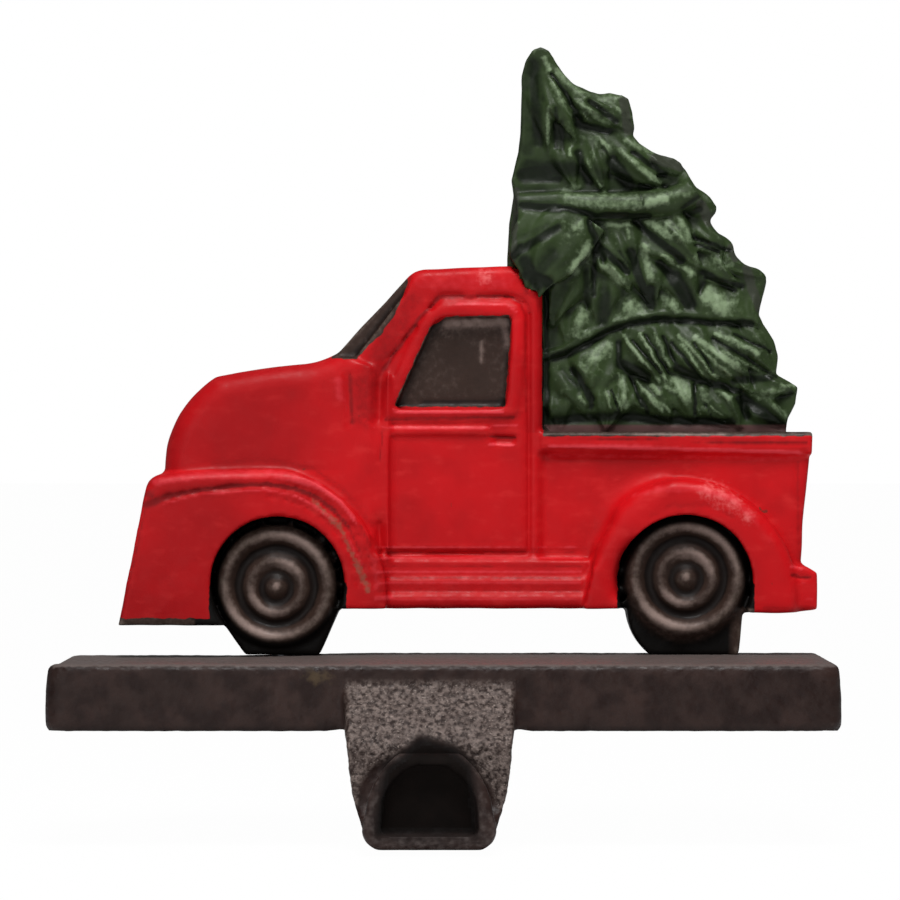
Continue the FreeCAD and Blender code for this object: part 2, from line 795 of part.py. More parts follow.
def disc(name, x, radius, thickness, floor):
    """A round plate about an axle."""
    plate = doc.addObject("Part::Cylinder", name)
    plate.Placement = FreeCAD.Placement(V(0, 0, 0), FreeCAD.Rotation(V(1, 0, 0), 90))
    bind(plate, "Radius", radius)
    bind(plate, "Height", size(thickness))
    bind(plate, "Placement.Base.x", x)
    bind(plate, "Placement.Base.y", back - floor)
    bind(plate, "Placement.Base.z", axle_z)
    doc.recompute()
    return plate


def make_bores():
    """The tapped holes that go up into the lugs, drawn at the screw's size."""
    holes = []
    for index, x in enumerate(screw_places, start=1):
        hole = doc.addObject("Part::Cylinder", f"lug_hole_{index}")
        bind(hole, "Radius", dim.screw_radius + dim.thread_clearance)
        bind(hole, "Height", seat_z + dim.screw_length + dim.screw_end_gap - deck + LAP)
        bind(hole, "Placement.Base.x", x)
        bind(hole, "Placement.Base.y", screw_y)
        bind(hole, "Placement.Base.z", deck - LAP)
        holes.append(hole)
    doc.recompute()
    return holes


def make_trim():
    """Raised trim that is laid over the plates once they are cut: the window bead and belt line."""
    bead = band("window_bead", window_corners(), dim.bead_width, dim.cab_thickness + dim.bead_rise,
                dim.cab_thickness - dim.glass_depth - 1.0)
    belt = layer("belt_line", [[
        (door_front_x + 1.0, belt_z - 0.9),
        (door_back_x - 8.0, belt_z - 0.9),
        (door_back_x - 8.0, belt_z + 0.5),
        (door_front_x + 1.0, belt_z + 0.5),
    ]], dim.cab_thickness + dim.bead_rise, radius=0.5)
    return [bead, belt]


def tree_at(across, up):
    """A place in the tree, as shares of its width from the left and of its height from the rail."""
    return tree_left_x + dim.tree_width * across, rail_z + dim.tree_height * up


# The tree's outline as shares of its width and height, from the foot round to the tip and down.
TREE_OUTLINE = [
    (0.10, -0.03), (0.955, -0.03), (0.957, 0.015), (0.988, 0.071), (1.0, 0.115), (0.922, 0.144),
    (0.929, 0.198), (0.875, 0.278), (0.869, 0.334), (0.872, 0.40), (0.769, 0.461), (0.685, 0.512),
    (0.705, 0.56), (0.663, 0.602), (0.655, 0.625), (0.60, 0.66), (0.592, 0.70), (0.509, 0.716),
    (0.415, 0.757), (0.43, 0.80), (0.405, 0.861), (0.355, 0.874), (0.283, 0.882), (0.195, 0.912),
    (0.145, 0.965), (0.10, 0.995), (0.055, 0.965), (0.032, 0.91), (0.025, 0.78), (-0.002, 0.666),
    (0.002, 0.61), (-0.018, 0.45), (0.06, 0.37),
]

# Each bough: its root and its tip as shares of the tree's width and height, its width as a
# share of the tree's, how proud its crest is as a share of the usual rise, its count of
# pleats, and how far it is lifted off the core, again as a share of the usual rise.
BOUGHS = [
    (0.119, 0.935, 0.397, 0.811, 0.100, 0.83, 3, 0.00),
    (0.102, 0.952, 0.221, 0.750, 0.100, 1.06, 2, 0.08),
    (0.086, 0.952, 0.122, 0.726, 0.100, 0.89, 1, 0.00),
    (0.208, 0.874, 0.334, 0.777, 0.096, 0.56, 3, 0.00),
    (0.307, 0.860, 0.413, 0.774, 0.096, 0.72, 2, 0.00),
    (0.175, 0.779, 0.215, 0.633, 0.122, 0.83, 2, 0.00),
    (0.248, 0.779, 0.321, 0.621, 0.131, 0.89, 3, 0.00),
    (0.311, 0.774, 0.516, 0.626, 0.144, 1.06, 3, 0.06),
    (0.403, 0.730, 0.579, 0.665, 0.083, 0.78, 2, 0.00),
    (0.562, 0.662, 0.658, 0.589, 0.100, 0.72, 1, 0.00),
    (0.605, 0.616, 0.694, 0.545, 0.096, 0.67, 1, 0.00),
    (0.248, 0.555, 0.056, 0.365, 0.209, 0.83, 2, 1.28),
    (0.132, 0.557, 0.023, 0.399, 0.175, 0.56, 1, 1.17),
    (0.268, 0.501, 0.132, 0.272, 0.179, 0.78, 2, 0.22),
    (0.288, 0.562, 0.403, 0.370, 0.227, 1.00, 3, 0.11),
    (0.301, 0.465, 0.311, 0.262, 0.175, 0.78, 2, 0.00),
    (0.446, 0.499, 0.489, 0.321, 0.161, 0.89, 2, 0.06),
    (0.519, 0.482, 0.635, 0.309, 0.170, 0.83, 2, 0.00),
    (0.430, 0.562, 0.651, 0.423, 0.205, 1.11, 3, 0.11),
    (0.595, 0.550, 0.757, 0.450, 0.127, 0.83, 3, 0.00),
    (0.631, 0.467, 0.790, 0.374, 0.127, 0.83, 2, 0.00),
    (0.701, 0.484, 0.856, 0.401, 0.105, 0.67, 2, 0.00),
    (0.248, 0.379, 0.212, 0.191, 0.209, 0.50, 3, 0.00),
    (0.413, 0.396, 0.397, 0.233, 0.209, 0.50, 3, 0.00),
    (0.569, 0.409, 0.559, 0.243, 0.209, 0.53, 3, 0.00),
    (0.711, 0.406, 0.714, 0.243, 0.201, 0.64, 3, 0.00),
    (0.813, 0.387, 0.826, 0.243, 0.135, 0.56, 2, 0.00),
    (0.331, 0.243, 0.258, 0.070, 0.196, 0.94, 3, 0.08),
    (0.162, 0.199, 0.271, 0.038, 0.175, 0.83, 2, 0.00),
    (0.145, 0.135, 0.165, 0.013, 0.144, 0.67, 2, 0.00),
    (0.383, 0.274, 0.532, 0.121, 0.205, 1.06, 3, 0.08),
    (0.512, 0.287, 0.701, 0.126, 0.214, 1.11, 3, 0.08),
    (0.631, 0.287, 0.830, 0.104, 0.192, 1.11, 3, 0.08),
    (0.744, 0.274, 0.912, 0.150, 0.153, 0.89, 3, 0.00),
    (0.360, 0.184, 0.324, 0.006, 0.227, 1.00, 3, 0.00),
    (0.436, 0.162, 0.545, 0.030, 0.188, 0.94, 3, 0.00),
    (0.572, 0.172, 0.635, 0.030, 0.183, 0.94, 3, 0.00),
    (0.651, 0.150, 0.790, 0.016, 0.196, 0.94, 3, 0.00),
    (0.797, 0.138, 0.982, 0.104, 0.105, 0.94, 2, 0.00),
    (0.793, 0.109, 0.952, 0.018, 0.127, 0.83, 2, 0.00),
]
BOUGHS_PER_TIER = 8

# A bough's rows of points: how far along it each lies, half its width there as a share, and
# how high it is there as a share of its crest.
BOUGH_ROOT = (0.0, 0.42, 0.0)
BOUGH_CREST = (0.52, 0.5, 1.0)
BOUGH_TIP = (1.0, 0.2, 0.45)
# How far a bough's edges lie below its middle, and how far they stop short of its tip.
BOUGH_CROWN = 0.5
BOUGH_POINT = 0.2
# Every bough is sunk to a depth of its own, so that no two backs lie in one plane.
SINK_STEP = 0.03


def make_tree():
    """The tree: a flat core with boughs that lap like shingles, a rope and a cord."""
    core = layer("tree_core", [[tree_at(*place) for place in TREE_OUTLINE]], dim.tree_thickness)
    boughs = [bough(number, *bough_row) for number, bough_row in enumerate(BOUGHS)]
    tiers = []
    for first in range(0, len(boughs), BOUGHS_PER_TIER):
        tier = boughs[first:first + BOUGHS_PER_TIER]
        piece = doc.addObject("Part::Feature", f"boughs_{first + 1}")
        piece.Shape = tier[0].multiFuse(tier[1:])
        tiers.append(piece)
    rope_left, rope_low = tree_at(-0.006, 0.543)
    rope_right, rope_low_right = tree_at(0.652, 0.584)
    rope_sweep = dim.tree_height * 0.02
    rope = layer("rope", [[
        (rope_left, rope_low, -rope_sweep),
        (rope_right, rope_low_right),
        (rope_right, rope_low_right + dim.rope_width, rope_sweep),
        (rope_left, rope_low + dim.rope_width),
    ]], dim.tree_thickness + dim.rope_rise, radius=1.3)
    cord_left, cord_low = tree_at(0.11, 0.185)
    cord_right, cord_low_right = tree_at(0.875, 0.262)
    cord_sweep = dim.tree_height * 0.066
    cord = layer("cord", [[
        (cord_left, cord_low, -cord_sweep),
        (cord_right, cord_low_right),
        (cord_right, cord_low_right + dim.cord_width, cord_sweep),
        (cord_left, cord_low + dim.cord_width),
    ]], dim.tree_thickness + dim.cord_rise)
    return [core, rope, cord] + tiers


def bough(number, root_across, root_up, tip_across, tip_up, width_share, lift, pleats, forward):
    """A pointed bough: pleats that rise from its root to a crest and droop to its point."""
    root = in_tree(root_across, root_up)
    along = in_tree(tip_across, tip_up) - root
    aside = V(along.z, 0, -along.x).normalize()
    width = dim.tree_width.number * width_share
    rise = dim.bough_rise.number
    core_y = back.number - dim.tree_thickness.number
    root_y = core_y + dim.bough_root_depth.number - rise * forward
    rows = []
    for share, half, height in (BOUGH_ROOT, BOUGH_CREST, BOUGH_TIP):
        row = []
        for step in range(2 * pleats + 1):
            side = step / pleats - 1
            groove = 0.0 if step % 2 else dim.needle_groove.number * height
            reach = share * (1.0 - BOUGH_POINT * side * side * share)
            place = root + along * reach + aside * (side * half * width)
            crown = rise * lift * height * (1.0 - BOUGH_CROWN * side * side)
            row.append(V(place.x, root_y - crown + groove, place.z))
        rows.append(row)
    faces = []
    for near, far in zip(rows, rows[1:]):
        for step in range(2 * pleats):
            faces.append(flat_face([near[step], near[step + 1], far[step + 1]]))
            faces.append(flat_face([near[step], far[step + 1], far[step]]))
    rim = rows[0] + [rows[1][-1]] + rows[2][::-1] + [rows[1][0]]
    sunk_y = core_y + dim.bough_sink.number + SINK_STEP * number
    sunk = [V(point.x, sunk_y, point.z) for point in rim]
    for index, point in enumerate(rim):
        following = (index + 1) % len(rim)
        faces.append(flat_face([point, sunk[index], sunk[following], rim[following]]))
    faces.append(flat_face(sunk))
    solid = Part.Solid(Part.Shell(faces))
    if solid.Volume < 0:
        solid.reverse()
    return solid


def in_tree(across, up):
    """A place in the tree as a point at the row's origin plane."""
    x, z = tree_at(across, up)
    return V(x.number, 0, z.number)


def flat_face(points):
    return Part.Face(Part.makePolygon(points + points[:1]))


def make_tree_core_cut():
    """The tree's cored back."""
    places = [(0.17, 0.06), (0.82, 0.06), (0.77, 0.25), (0.60, 0.40), (0.52, 0.54), (0.36, 0.66),
              (0.22, 0.80), (0.13, 0.80), (0.13, 0.47), (0.19, 0.36)]
    return layer("tree_core_cut", [[tree_at(*place) for place in places]], dim.core_depth + LAP,
                 floor=-size(LAP))


def make_truck_and_tree():
    """The painted casting: the truck's plates, carved and cored, with its wheels, lugs and tree."""
    core, rope, cord, *tiers = make_tree()
    plates = fuse("plates", make_truck_layers() + [core, rope, cord])
    cuts = fuse("cuts", make_truck_cutters() + [make_tree_core_cut()])
    carved = cut("carved_plates", plates, cuts)
    wheels = [wheel("front_wheel", front_axle), wheel("rear_wheel", rear_axle)]
    standing = fuse("standing_truck", [carved] + wheels + make_trim() + make_lugs())
    bored = cut("bored_truck", standing, fuse("bores", make_bores()))
    return fuse("truck_and_tree", [bored] + tiers)


def check_document():
    """Stop if any object of the document failed or holds a shape that isn't sound."""
    for obj in doc.Objects:
        if "Invalid" in obj.State or "Error" in obj.State:
            raise RuntimeError(f"{obj.Name} failed: {obj.State}")
        shape = getattr(obj, "Shape", None)
        if shape is not None and not shape.isNull() and not shape.isValid():
            raise RuntimeError(f"{obj.Name} has a shape that is not valid")


def export_piece(piece, solids):
    """Write one piece of the holder to its own file, once it is whole."""
    shape = piece.Shape
    if shape.isNull() or not shape.isValid() or len(shape.Solids) != solids:
        raise RuntimeError(f"{piece.Name} is not {solids} sound solid(s)")
    piece.Label = piece.Name
    shape.exportStep(f"parts/{piece.Name}.step")
    print(f"{piece.Name}: {len(shape.Solids)} solid(s), {shape.Volume / 1000:.1f} cubic centimetres")


if __name__ == "__main__":
    pieces = [(make_base(), 1), (make_truck_and_tree(), 1), (make_screws(), 2)]
    doc.recompute()
    check_document()
    os.makedirs("parts", exist_ok=True)
    for piece, solids in pieces:
        export_piece(piece, solids)
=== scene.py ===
"""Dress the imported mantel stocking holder: worn paint, needled boughs and rough cast iron."""

import math

import bmesh
import bpy
import numpy as np
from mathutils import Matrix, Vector, noise


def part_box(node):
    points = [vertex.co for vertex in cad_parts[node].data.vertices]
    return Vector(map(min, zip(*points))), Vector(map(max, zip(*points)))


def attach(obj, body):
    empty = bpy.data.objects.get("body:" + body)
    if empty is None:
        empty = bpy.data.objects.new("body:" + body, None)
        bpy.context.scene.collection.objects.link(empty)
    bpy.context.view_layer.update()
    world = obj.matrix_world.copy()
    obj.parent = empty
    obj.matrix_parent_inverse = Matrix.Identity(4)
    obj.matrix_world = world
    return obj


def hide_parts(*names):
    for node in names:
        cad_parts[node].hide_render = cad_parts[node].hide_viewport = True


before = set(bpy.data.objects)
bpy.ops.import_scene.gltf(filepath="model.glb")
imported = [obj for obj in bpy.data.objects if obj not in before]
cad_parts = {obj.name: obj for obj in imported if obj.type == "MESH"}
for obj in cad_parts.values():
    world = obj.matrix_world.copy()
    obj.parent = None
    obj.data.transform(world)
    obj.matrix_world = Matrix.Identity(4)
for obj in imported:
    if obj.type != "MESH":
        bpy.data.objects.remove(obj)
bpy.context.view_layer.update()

bl_info = {
    "name": "Mantel stocking holder",
    "version": (1, 0, 0),
    "blender": (4, 5, 0),
    "location": "View3D > Sidebar > Stocking Holder",
    "description": "Cast-iron stocking holder with a relief truck and a roped fir tree",
    "category": "Object",
}

BASE_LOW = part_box("base_with_hook")[0]
CASTING_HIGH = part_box("truck_and_tree")[1]
MM = 0.001

# All places below are in millimetres of the row's frame. A polygon or a place of two numbers is (x, z).
# A stroke is its first place, and for each further place x, z, the width up to there, and how pale and
# proud it is, up to 1, or how dark and sunken, down to -1. Pale is painted as highlight, dark as shade.

# The truck
BACK_Y = CASTING_HIGH[1] / MM
# What lies at least this far in front of the back may be moved.
RELIEF_DEPTH = 6.0
RAIL_Z = 59.9
ROOF_Z = 94.8
CAB_BACK_X = 20.6
CAB_FACE_Y = 50.0
SILL_Z = 22.8
FENDER_FACE_Y = 46.0
# The casting is brown in front of and below this place.
NOSE_FOOT_X, NOSE_FOOT_Z = -45.0, 20.8
REAR_POST_X = 59.8
DOOR_GLASS = ((-10.9, 65.2), (-3.1, 82.0), (0.3, 84.2), (13.3, 84.4), (14.1, 83.3), (12.7, 65.2))
WINDSHIELD = (
    (-24.0, 75.4), (-9.2, 94.6), (-7.5, 91.7), (-10.7, 84.2), (-13.3, 80.6), (-16.0, 78.1), (-18.5, 75.2),
)
WINDSHIELD_TOP_Y = 55.0
# Where the rear fender runs softly into the bed.
FENDER_BLEND = (
    (35.0, 24.0), (39.4, 24.6), (40.4, 38.0), (46.0, 46.4), (49.0, 51.8), (40.0, 52.6), (33.4, 47.4),
    (30.6, 40.0), (31.6, 36.0),
)
# Where a bough lies over the cab's corner, and the casting dips beneath it.
CORNER_DIP = (
    (12.9, 97.0), (13.6, 94.8), (15.8, 92.9), (16.8, 90.6), (18.4, 89.6), (22.0, 89.2), (22.0, 97.0),
)
CORNER_DEPTH = 3.5
# The bed's bead: its height in the solids, how far it moves down, and where it is softened.
BEAD_Z, BEAD_DROP, BEAD_REACH = 56.4, 0.9, 1.1
BEAD_SOFT_Z, BEAD_END_X = 55.2, 77.0
# The running board's rear end: its foot, its lean, and how far it moves forward below a height.
BOARD_FOOT, BOARD_LEAN, BOARD_SHIFT, BOARD_REACH, BOARD_TOP_Z = (31.1, 23.1), 0.175, 2.0, 7.0, 40.0
# The gap in front of the door, which is softened between two heights.
GAP_X, GAP_HALF_WIDTH, GAP_LOW_Z, GAP_HIGH_Z = -13.8, 1.8, 34.4, 75.0
# How strongly and how often the blend, the bead and the gap are softened.
TRUCK_EASE, TRUCK_EASE_ROUNDS = 0.6, 45
# Painted shade: the hood's flank, the fender's flank, and the posts before and behind the door.
HOOD_SHADE, HOOD_SHADE_X, HOOD_LOW_Z = 0.46, (-20.0, -32.0), 52.0
FLANK_SHADE, FLANK_SHADE_X, FLANK_HIGH_Z = 0.3, (-30.0, -50.0), 50.0
PILLAR_SHADE, PILLAR_X, PILLAR_REACH, PILLAR_Z = 0.45, -13.0, 5.0, (66.0, 70.0)
POST_SHADE, POST_X, POST_Z = 0.34, (CAB_BACK_X - 4.4, CAB_BACK_X - 2.8), (88.0, 84.0)

# The wheels: their axles, how each is moved across and up to stand as seen, how far in front of the back
# it is free to move, the radius of the arches, and the radius beyond which the gap round a tyre is
# painted black as shade.
WHEELS = ((-35.0, 28.2), (50.6, 28.2))
WHEEL_SHIFTS = ((-0.4, -0.7), (0.2, 1.2))
WHEEL_DEPTH = 5.0
ARCH_RADIUS = 14.4
TYRE_RADIUS = 11.9
# Rings about an axle: radius, half its width, how pale or dark it is, and how far it sits below the axle.
# Pale rings are painted highlights, dark ones painted shade.
WHEEL_RINGS = (
    (0.3, 0.5, 0.8, 0.0), (3.0, 0.8, -0.8, 0.6), (5.4, 1.1, 0.95, 0.6), (7.9, 0.9, -1.0, 0.0),
    (10.6, 1.0, 1.0, 0.0),
)
HUB_RADIUS = 1.0
# The rings' painted highlight is strongest at this angle, in radians, and right across from it; least
# between.
LIT_ANGLE, LIT_LEAST = 1.05, 0.16

# Lines cast into the truck's face, also painted as highlights where pale and as shade where dark.
TRUCK_STROKES = (
    (39.8, 59.4, 59, 59.2, 0.6, 0.6), (22.1, 55, 74.2, 54.2, 1.1, 0.3),
    (-6.9, 87.4, -14.9, 73.5, 4.6, -0.42), (3, 76.6, 6.7, 70.4, 4.9, -0.2),
    (0.5, 82.7, 12.6, 83.1, 1.9, 0.62), (12.6, 82.7, 13.3, 78.4, 1.2, 0.5),
    (7.8, 78.7, 7.8, 74.7, 0.8, 0.55), (-4.4, 66.2, 12.3, 66.4, 0.9, -0.6),
    (-16.4, 69.8, -16.6, 63.6, 5.9, -0.42), (-22.3, 70.7, -21.9, 67, 1.9, 0.5),
    (-5, 91.2, 13.2, 91.5, 3.7, 0.3), (-0.7, 81.2, 1.2, 79.7, 0.6, 0.25),
    (67, 22.7, 77.5, 22.4, 1.1, -0.45), (-62.8, 43.4, -67.9, 20.9, 0.5, -0.5),
    (-62.1, 46.9, -61.7, 46.5, 1.9, -0.6),
    (-62.6, 44.6, -57.6, 46.5, 1.6, -0.8, -51.7, 47.6, 1.1, -0.9, -44, 48.7, 0.9, -1, -37, 48.9, 0.9, -1,
     -31.5, 48, 0.9, -1, -26.8, 46.1, 0.9, -1, -23.3, 43.4, 0.9, -0.9, -20.2, 39.9, 0.8, -0.8, -17.9, 34.9,
     0.8, -0.5), (-60.7, 49.3, -51.7, 50.8, 1.9, 0.45, -37, 51, 2.1, 0.45),
    (-37, 51.2, -31.5, 50.4, 2.1, 0.5),
    (-31.5, 50.2, -26.5, 48.5, 1.6, 0.65, -21.8, 45.2, 0.9, 0.9, -18.3, 40.7, 0.9, 0.8),
    (-59.1, 44.8, -51.7, 46.8, 0.6, 0.6, -38.1, 47.8, 0.6, 0.55, -31.5, 46.6, 0.6, 0.5, -27.6, 44.6, 0.7,
     0.6, -23.3, 41.3, 0.9, 0.6), (-20.2, 38, -17.5, 32.1, 1, 0.4), (-18.1, 41.1, -14.8, 34.1, 0.7, -0.4),
    (-15.2, 34.9, -14.2, 27.1, 1.4, 0.35), (-14.4, 25.1, -11.3, 25.1, 1.1, 0.6),
    (-48.6, 53.1, -37, 53.7, 1.6, -0.3, -28, 52.2, 1.6, -0.35, -21, 47.3, 1.4, -0.35, -15.2, 40.3, 1.4,
     -0.3), (-1.3, 88.3, 13.5, 88.5, 0.9, -0.7, 16, 87.1, 0.8, -0.6, 16.7, 84.9, 0.7, -0.5),
    (-1.3, 88.3, -5.6, 83.4, 0.9, -0.7, -9.3, 78.1, 0.9, -0.7, -13, 72.9, 1, -0.7, -16.7, 69.2, 1.4, -0.45),
    (-5, 92, 6.7, 91.4, 1.9, 0.25), (7.9, 91.7, 12.9, 91.1, 1.2, 0.4),
    (2.4, 86.8, 12.9, 86.8, 0.7, 0.6, 15.2, 85.1, 0.7, 0.6), (2.4, 85.1, 12.9, 84.8, 0.6, -0.3),
    (-10.9, 64.5, -9.3, 63.9, 0.6, 0.8), (-9, 64, 12, 64.2, 0.6, 0.9), (-12.4, 62.6, 14.4, 62.9, 0.7, -0.7),
    (-13.3, 60.8, 9.2, 60.8, 0.7, 0.6), (10.1, 61.3, 15.4, 61.4, 0.5, 0.6),
    (9.6, 58.9, 14.7, 58.7, 0.6, -0.8), (9.2, 57.4, 14.4, 57.1, 0.6, 0.8),
    (-17, 62.4, -14.6, 60.7, 0.6, 0.7), (-13.3, 60.2, -13.5, 54, 0.4, -0.6),
    (-20, 71.9, -19.4, 61.8, 0.9, -0.6), (-21.1, 71, -20.7, 64.2, 0.6, 0.35),
    (-18.3, 70.4, -14.3, 64.2, 2.5, -0.25), (16.9, 84.9, 17.1, 64.2, 0.6, -0.35),
    (39.8, 46.5, 44.5, 47.8, 1.4, 0.3, 53.2, 48.1, 1.8, 0.4), (53.2, 47.9, 60.5, 45.9, 1.8, 0.5),
    (60.5, 45.7, 64.4, 42.1, 1.7, 0.4, 68.1, 37.1, 1.4, 0.25),
    (43.1, 42.1, 47.4, 44.3, 1.3, -0.25, 55, 44.7, 1.3, -0.3, 60.5, 42.1, 1.3, -0.3),
    (22.1, 57, 49.6, 56.3, 0.8, 0.85, 74.6, 55.6, 0.8, 0.85), (72.4, 55.7, 75, 55.4, 0.8, 0.6),
    (22.1, 58.8, 53.2, 57.9, 0.4, -0.7, 76.4, 57.5, 0.4, -0.8), (57.9, 58.9, 76.6, 58.7, 0.4, 0.5),
    (74.3, 54.1, 74.7, 32.3, 0.9, -0.35), (72.6, 31.6, 75, 31.2, 0.7, 0.6),
    (72.8, 29.8, 76.4, 29.2, 0.7, -0.8), (75, 28.1, 77.5, 27.9, 0.4, 0.4), (75, 25.1, 77.5, 24.7, 0.4, 0.4),
    (-14.9, 35.7, 29.7, 35.8, 0.4, 0.6), (-14.9, 34.6, 29.3, 34.7, 0.4, -0.5),
    (-14.9, 33.4, 28.9, 33.4, 0.4, 0.5), (-14.2, 31.8, 28.6, 31.8, 0.4, -0.5),
    (-14.2, 30.5, 28.6, 30.4, 0.5, 0.6), (-13.8, 29.3, 28.6, 29.3, 0.4, -0.5),
    (-13.8, 28.3, 28.6, 28.2, 0.4, 0.5), (-13.8, 26.5, 28.6, 26.5, 0.5, -0.4),
    (-13.4, 24.7, 28.6, 25, 0.6, 0.45),
)
# Where the truck's face is rubbed to the metal, as strokes, and scuffed pale, as places and their radii.
WORN_LINES = (
    (-27.6, 45.4, -24.1, 41.9, 1.1, 0.8, -22.2, 40.3, 1.6, 1.0, -18.7, 32.9, 1.0, 0.8, -16.0, 26.7, 1.6,
     0.9),
)
SCUFFED_PLACES = (
    (55.0, 47.6, 3.4), (57.9, 46.5, 3.8), (60.5, 45.0, 3.2), (63.4, 42.1, 2.6), (8.4, 92.6, 3.0),
)
# How far a full dark stroke is cut in and a full pale one raised, and how far lines wander off true.
TRUCK_CUT, TRUCK_RISE, TRUCK_WANDER = 0.3, 0.22, 0.15

# The base and its hook. Above the first height the base's upward faces carry a painted highlight and its
# front is softened; above the second its front is rough.
BASE_BROW_Z, BASE_TOP_Z = 11.0, 13.0
HOOK_X, HOOK_HALF_WIDTH, HOOK_TOP_Z = -3.0, 17.6, 10.5
HOOK_FACE_Y = 0.9
HOOK_TIP_Y = -17.5
# The hook's smooth rim, which carries a painted highlight, and the well within it, painted black as
# shade, as seen from the front.
HOOK_RIM = (
    (-18.0, -24.0), (-16.6, -17.0), (-15.9, -14.5), (-15.6, -10.7), (-13.5, -7.5), (-11.0, -6.3),
    (-7.5, -4.1), (-6.5, -3.1), (-5.0, -1.6), (-2.9, -2.0), (1.6, -3.3), (4.6, -6.1), (6.4, -9.0),
    (8.1, -11.5), (8.8, -14.5), (10.2, -17.5), (11.4, -24.0),
)
HOOK_WELL = (
    (-12.5, -19.3), (5.4, -19.3), (5.0, -12.0), (4.6, -6.5), (1.6, -3.7), (-2.9, -2.4), (-5.0, -2.0),
    (-6.5, -3.5), (-7.5, -4.5), (-11.0, -6.7), (-11.7, -12.0),
)
# The hook widens below the base and draws in again at its foot, by these shares between these heights.
HOOK_SPREAD, HOOK_SPREAD_Z = 0.06, (-4.0, -13.0)
HOOK_DRAW, HOOK_DRAW_Z = 0.10, (-18.5, -23.0)
# A brown spot on the base's face: its middle, and its half width and half height.
RUBBED_SPOT, RUBBED_SIZE = (-25.8, 10.4), (5.0, 2.4)
# The top front edge's height, pale with dust.
# The height of the top front edge, along which a painted highlight runs.
EDGE_Z = 14.2
# The plate's ends: where they start to swell, how far, and how far their foot draws in.
END_X, END_SWELL, END_DRAW = (70.0, 76.0), 0.4, 0.7
LEFT_END_X, LEFT_END_GROWTH = (-70.0, -80.0), 0.5
# Sags of this one casting: the front's bottom edge, the top's left corner, and the top towards the left.
FRONT_SAG, CORNER_SAG, TOP_SAG = 0.5, 0.9, 0.5

# The tree. A leaf is (root x, root z, tip x, tip z, width, lift, bow, needles, forward).
TREE_OUTLINE = (
    (20.3, 141.2), (22.0, 140.4), (23.2, 138.3), (24.9, 135.1), (27.9, 132.8), (32.7, 131.3), (36.9, 131.3),
    (38.8, 130.3), (39.7, 127.3), (40.1, 124.2), (39.5, 121.8), (42.2, 119.9), (45.1, 118.5), (48.5, 117.6),
    (50.0, 116.6), (50.6, 114.3), (51.3, 112.6), (53.1, 111.9), (54.2, 110.5), (54.4, 108.8), (56.3, 107.7),
    (56.7, 106.0), (55.7, 103.3), (58.4, 101.2), (60.3, 99.7), (60.7, 97.2), (63.3, 95.7), (65.8, 94.5),
    (66.8, 92.6), (66.6, 87.3), (67.5, 82.7), (69.6, 78.9), (70.4, 75.9), (70.0, 72.1), (72.7, 70.6),
    (74.6, 69.4), (74.0, 65.8), (72.5, 62.8), (72.1, 60.3), (72.1, 56.0), (21.0, 56.0), (21.0, 70.0),
    (13.3, 90.0), (13.3, 97.0), (13.7, 104.1), (14.6, 109.8), (14.2, 113.4), (15.6, 119.3), (16.1, 123.5),
    (16.3, 129.9), (16.3, 135.1), (17.1, 138.3), (18.6, 140.6),
)
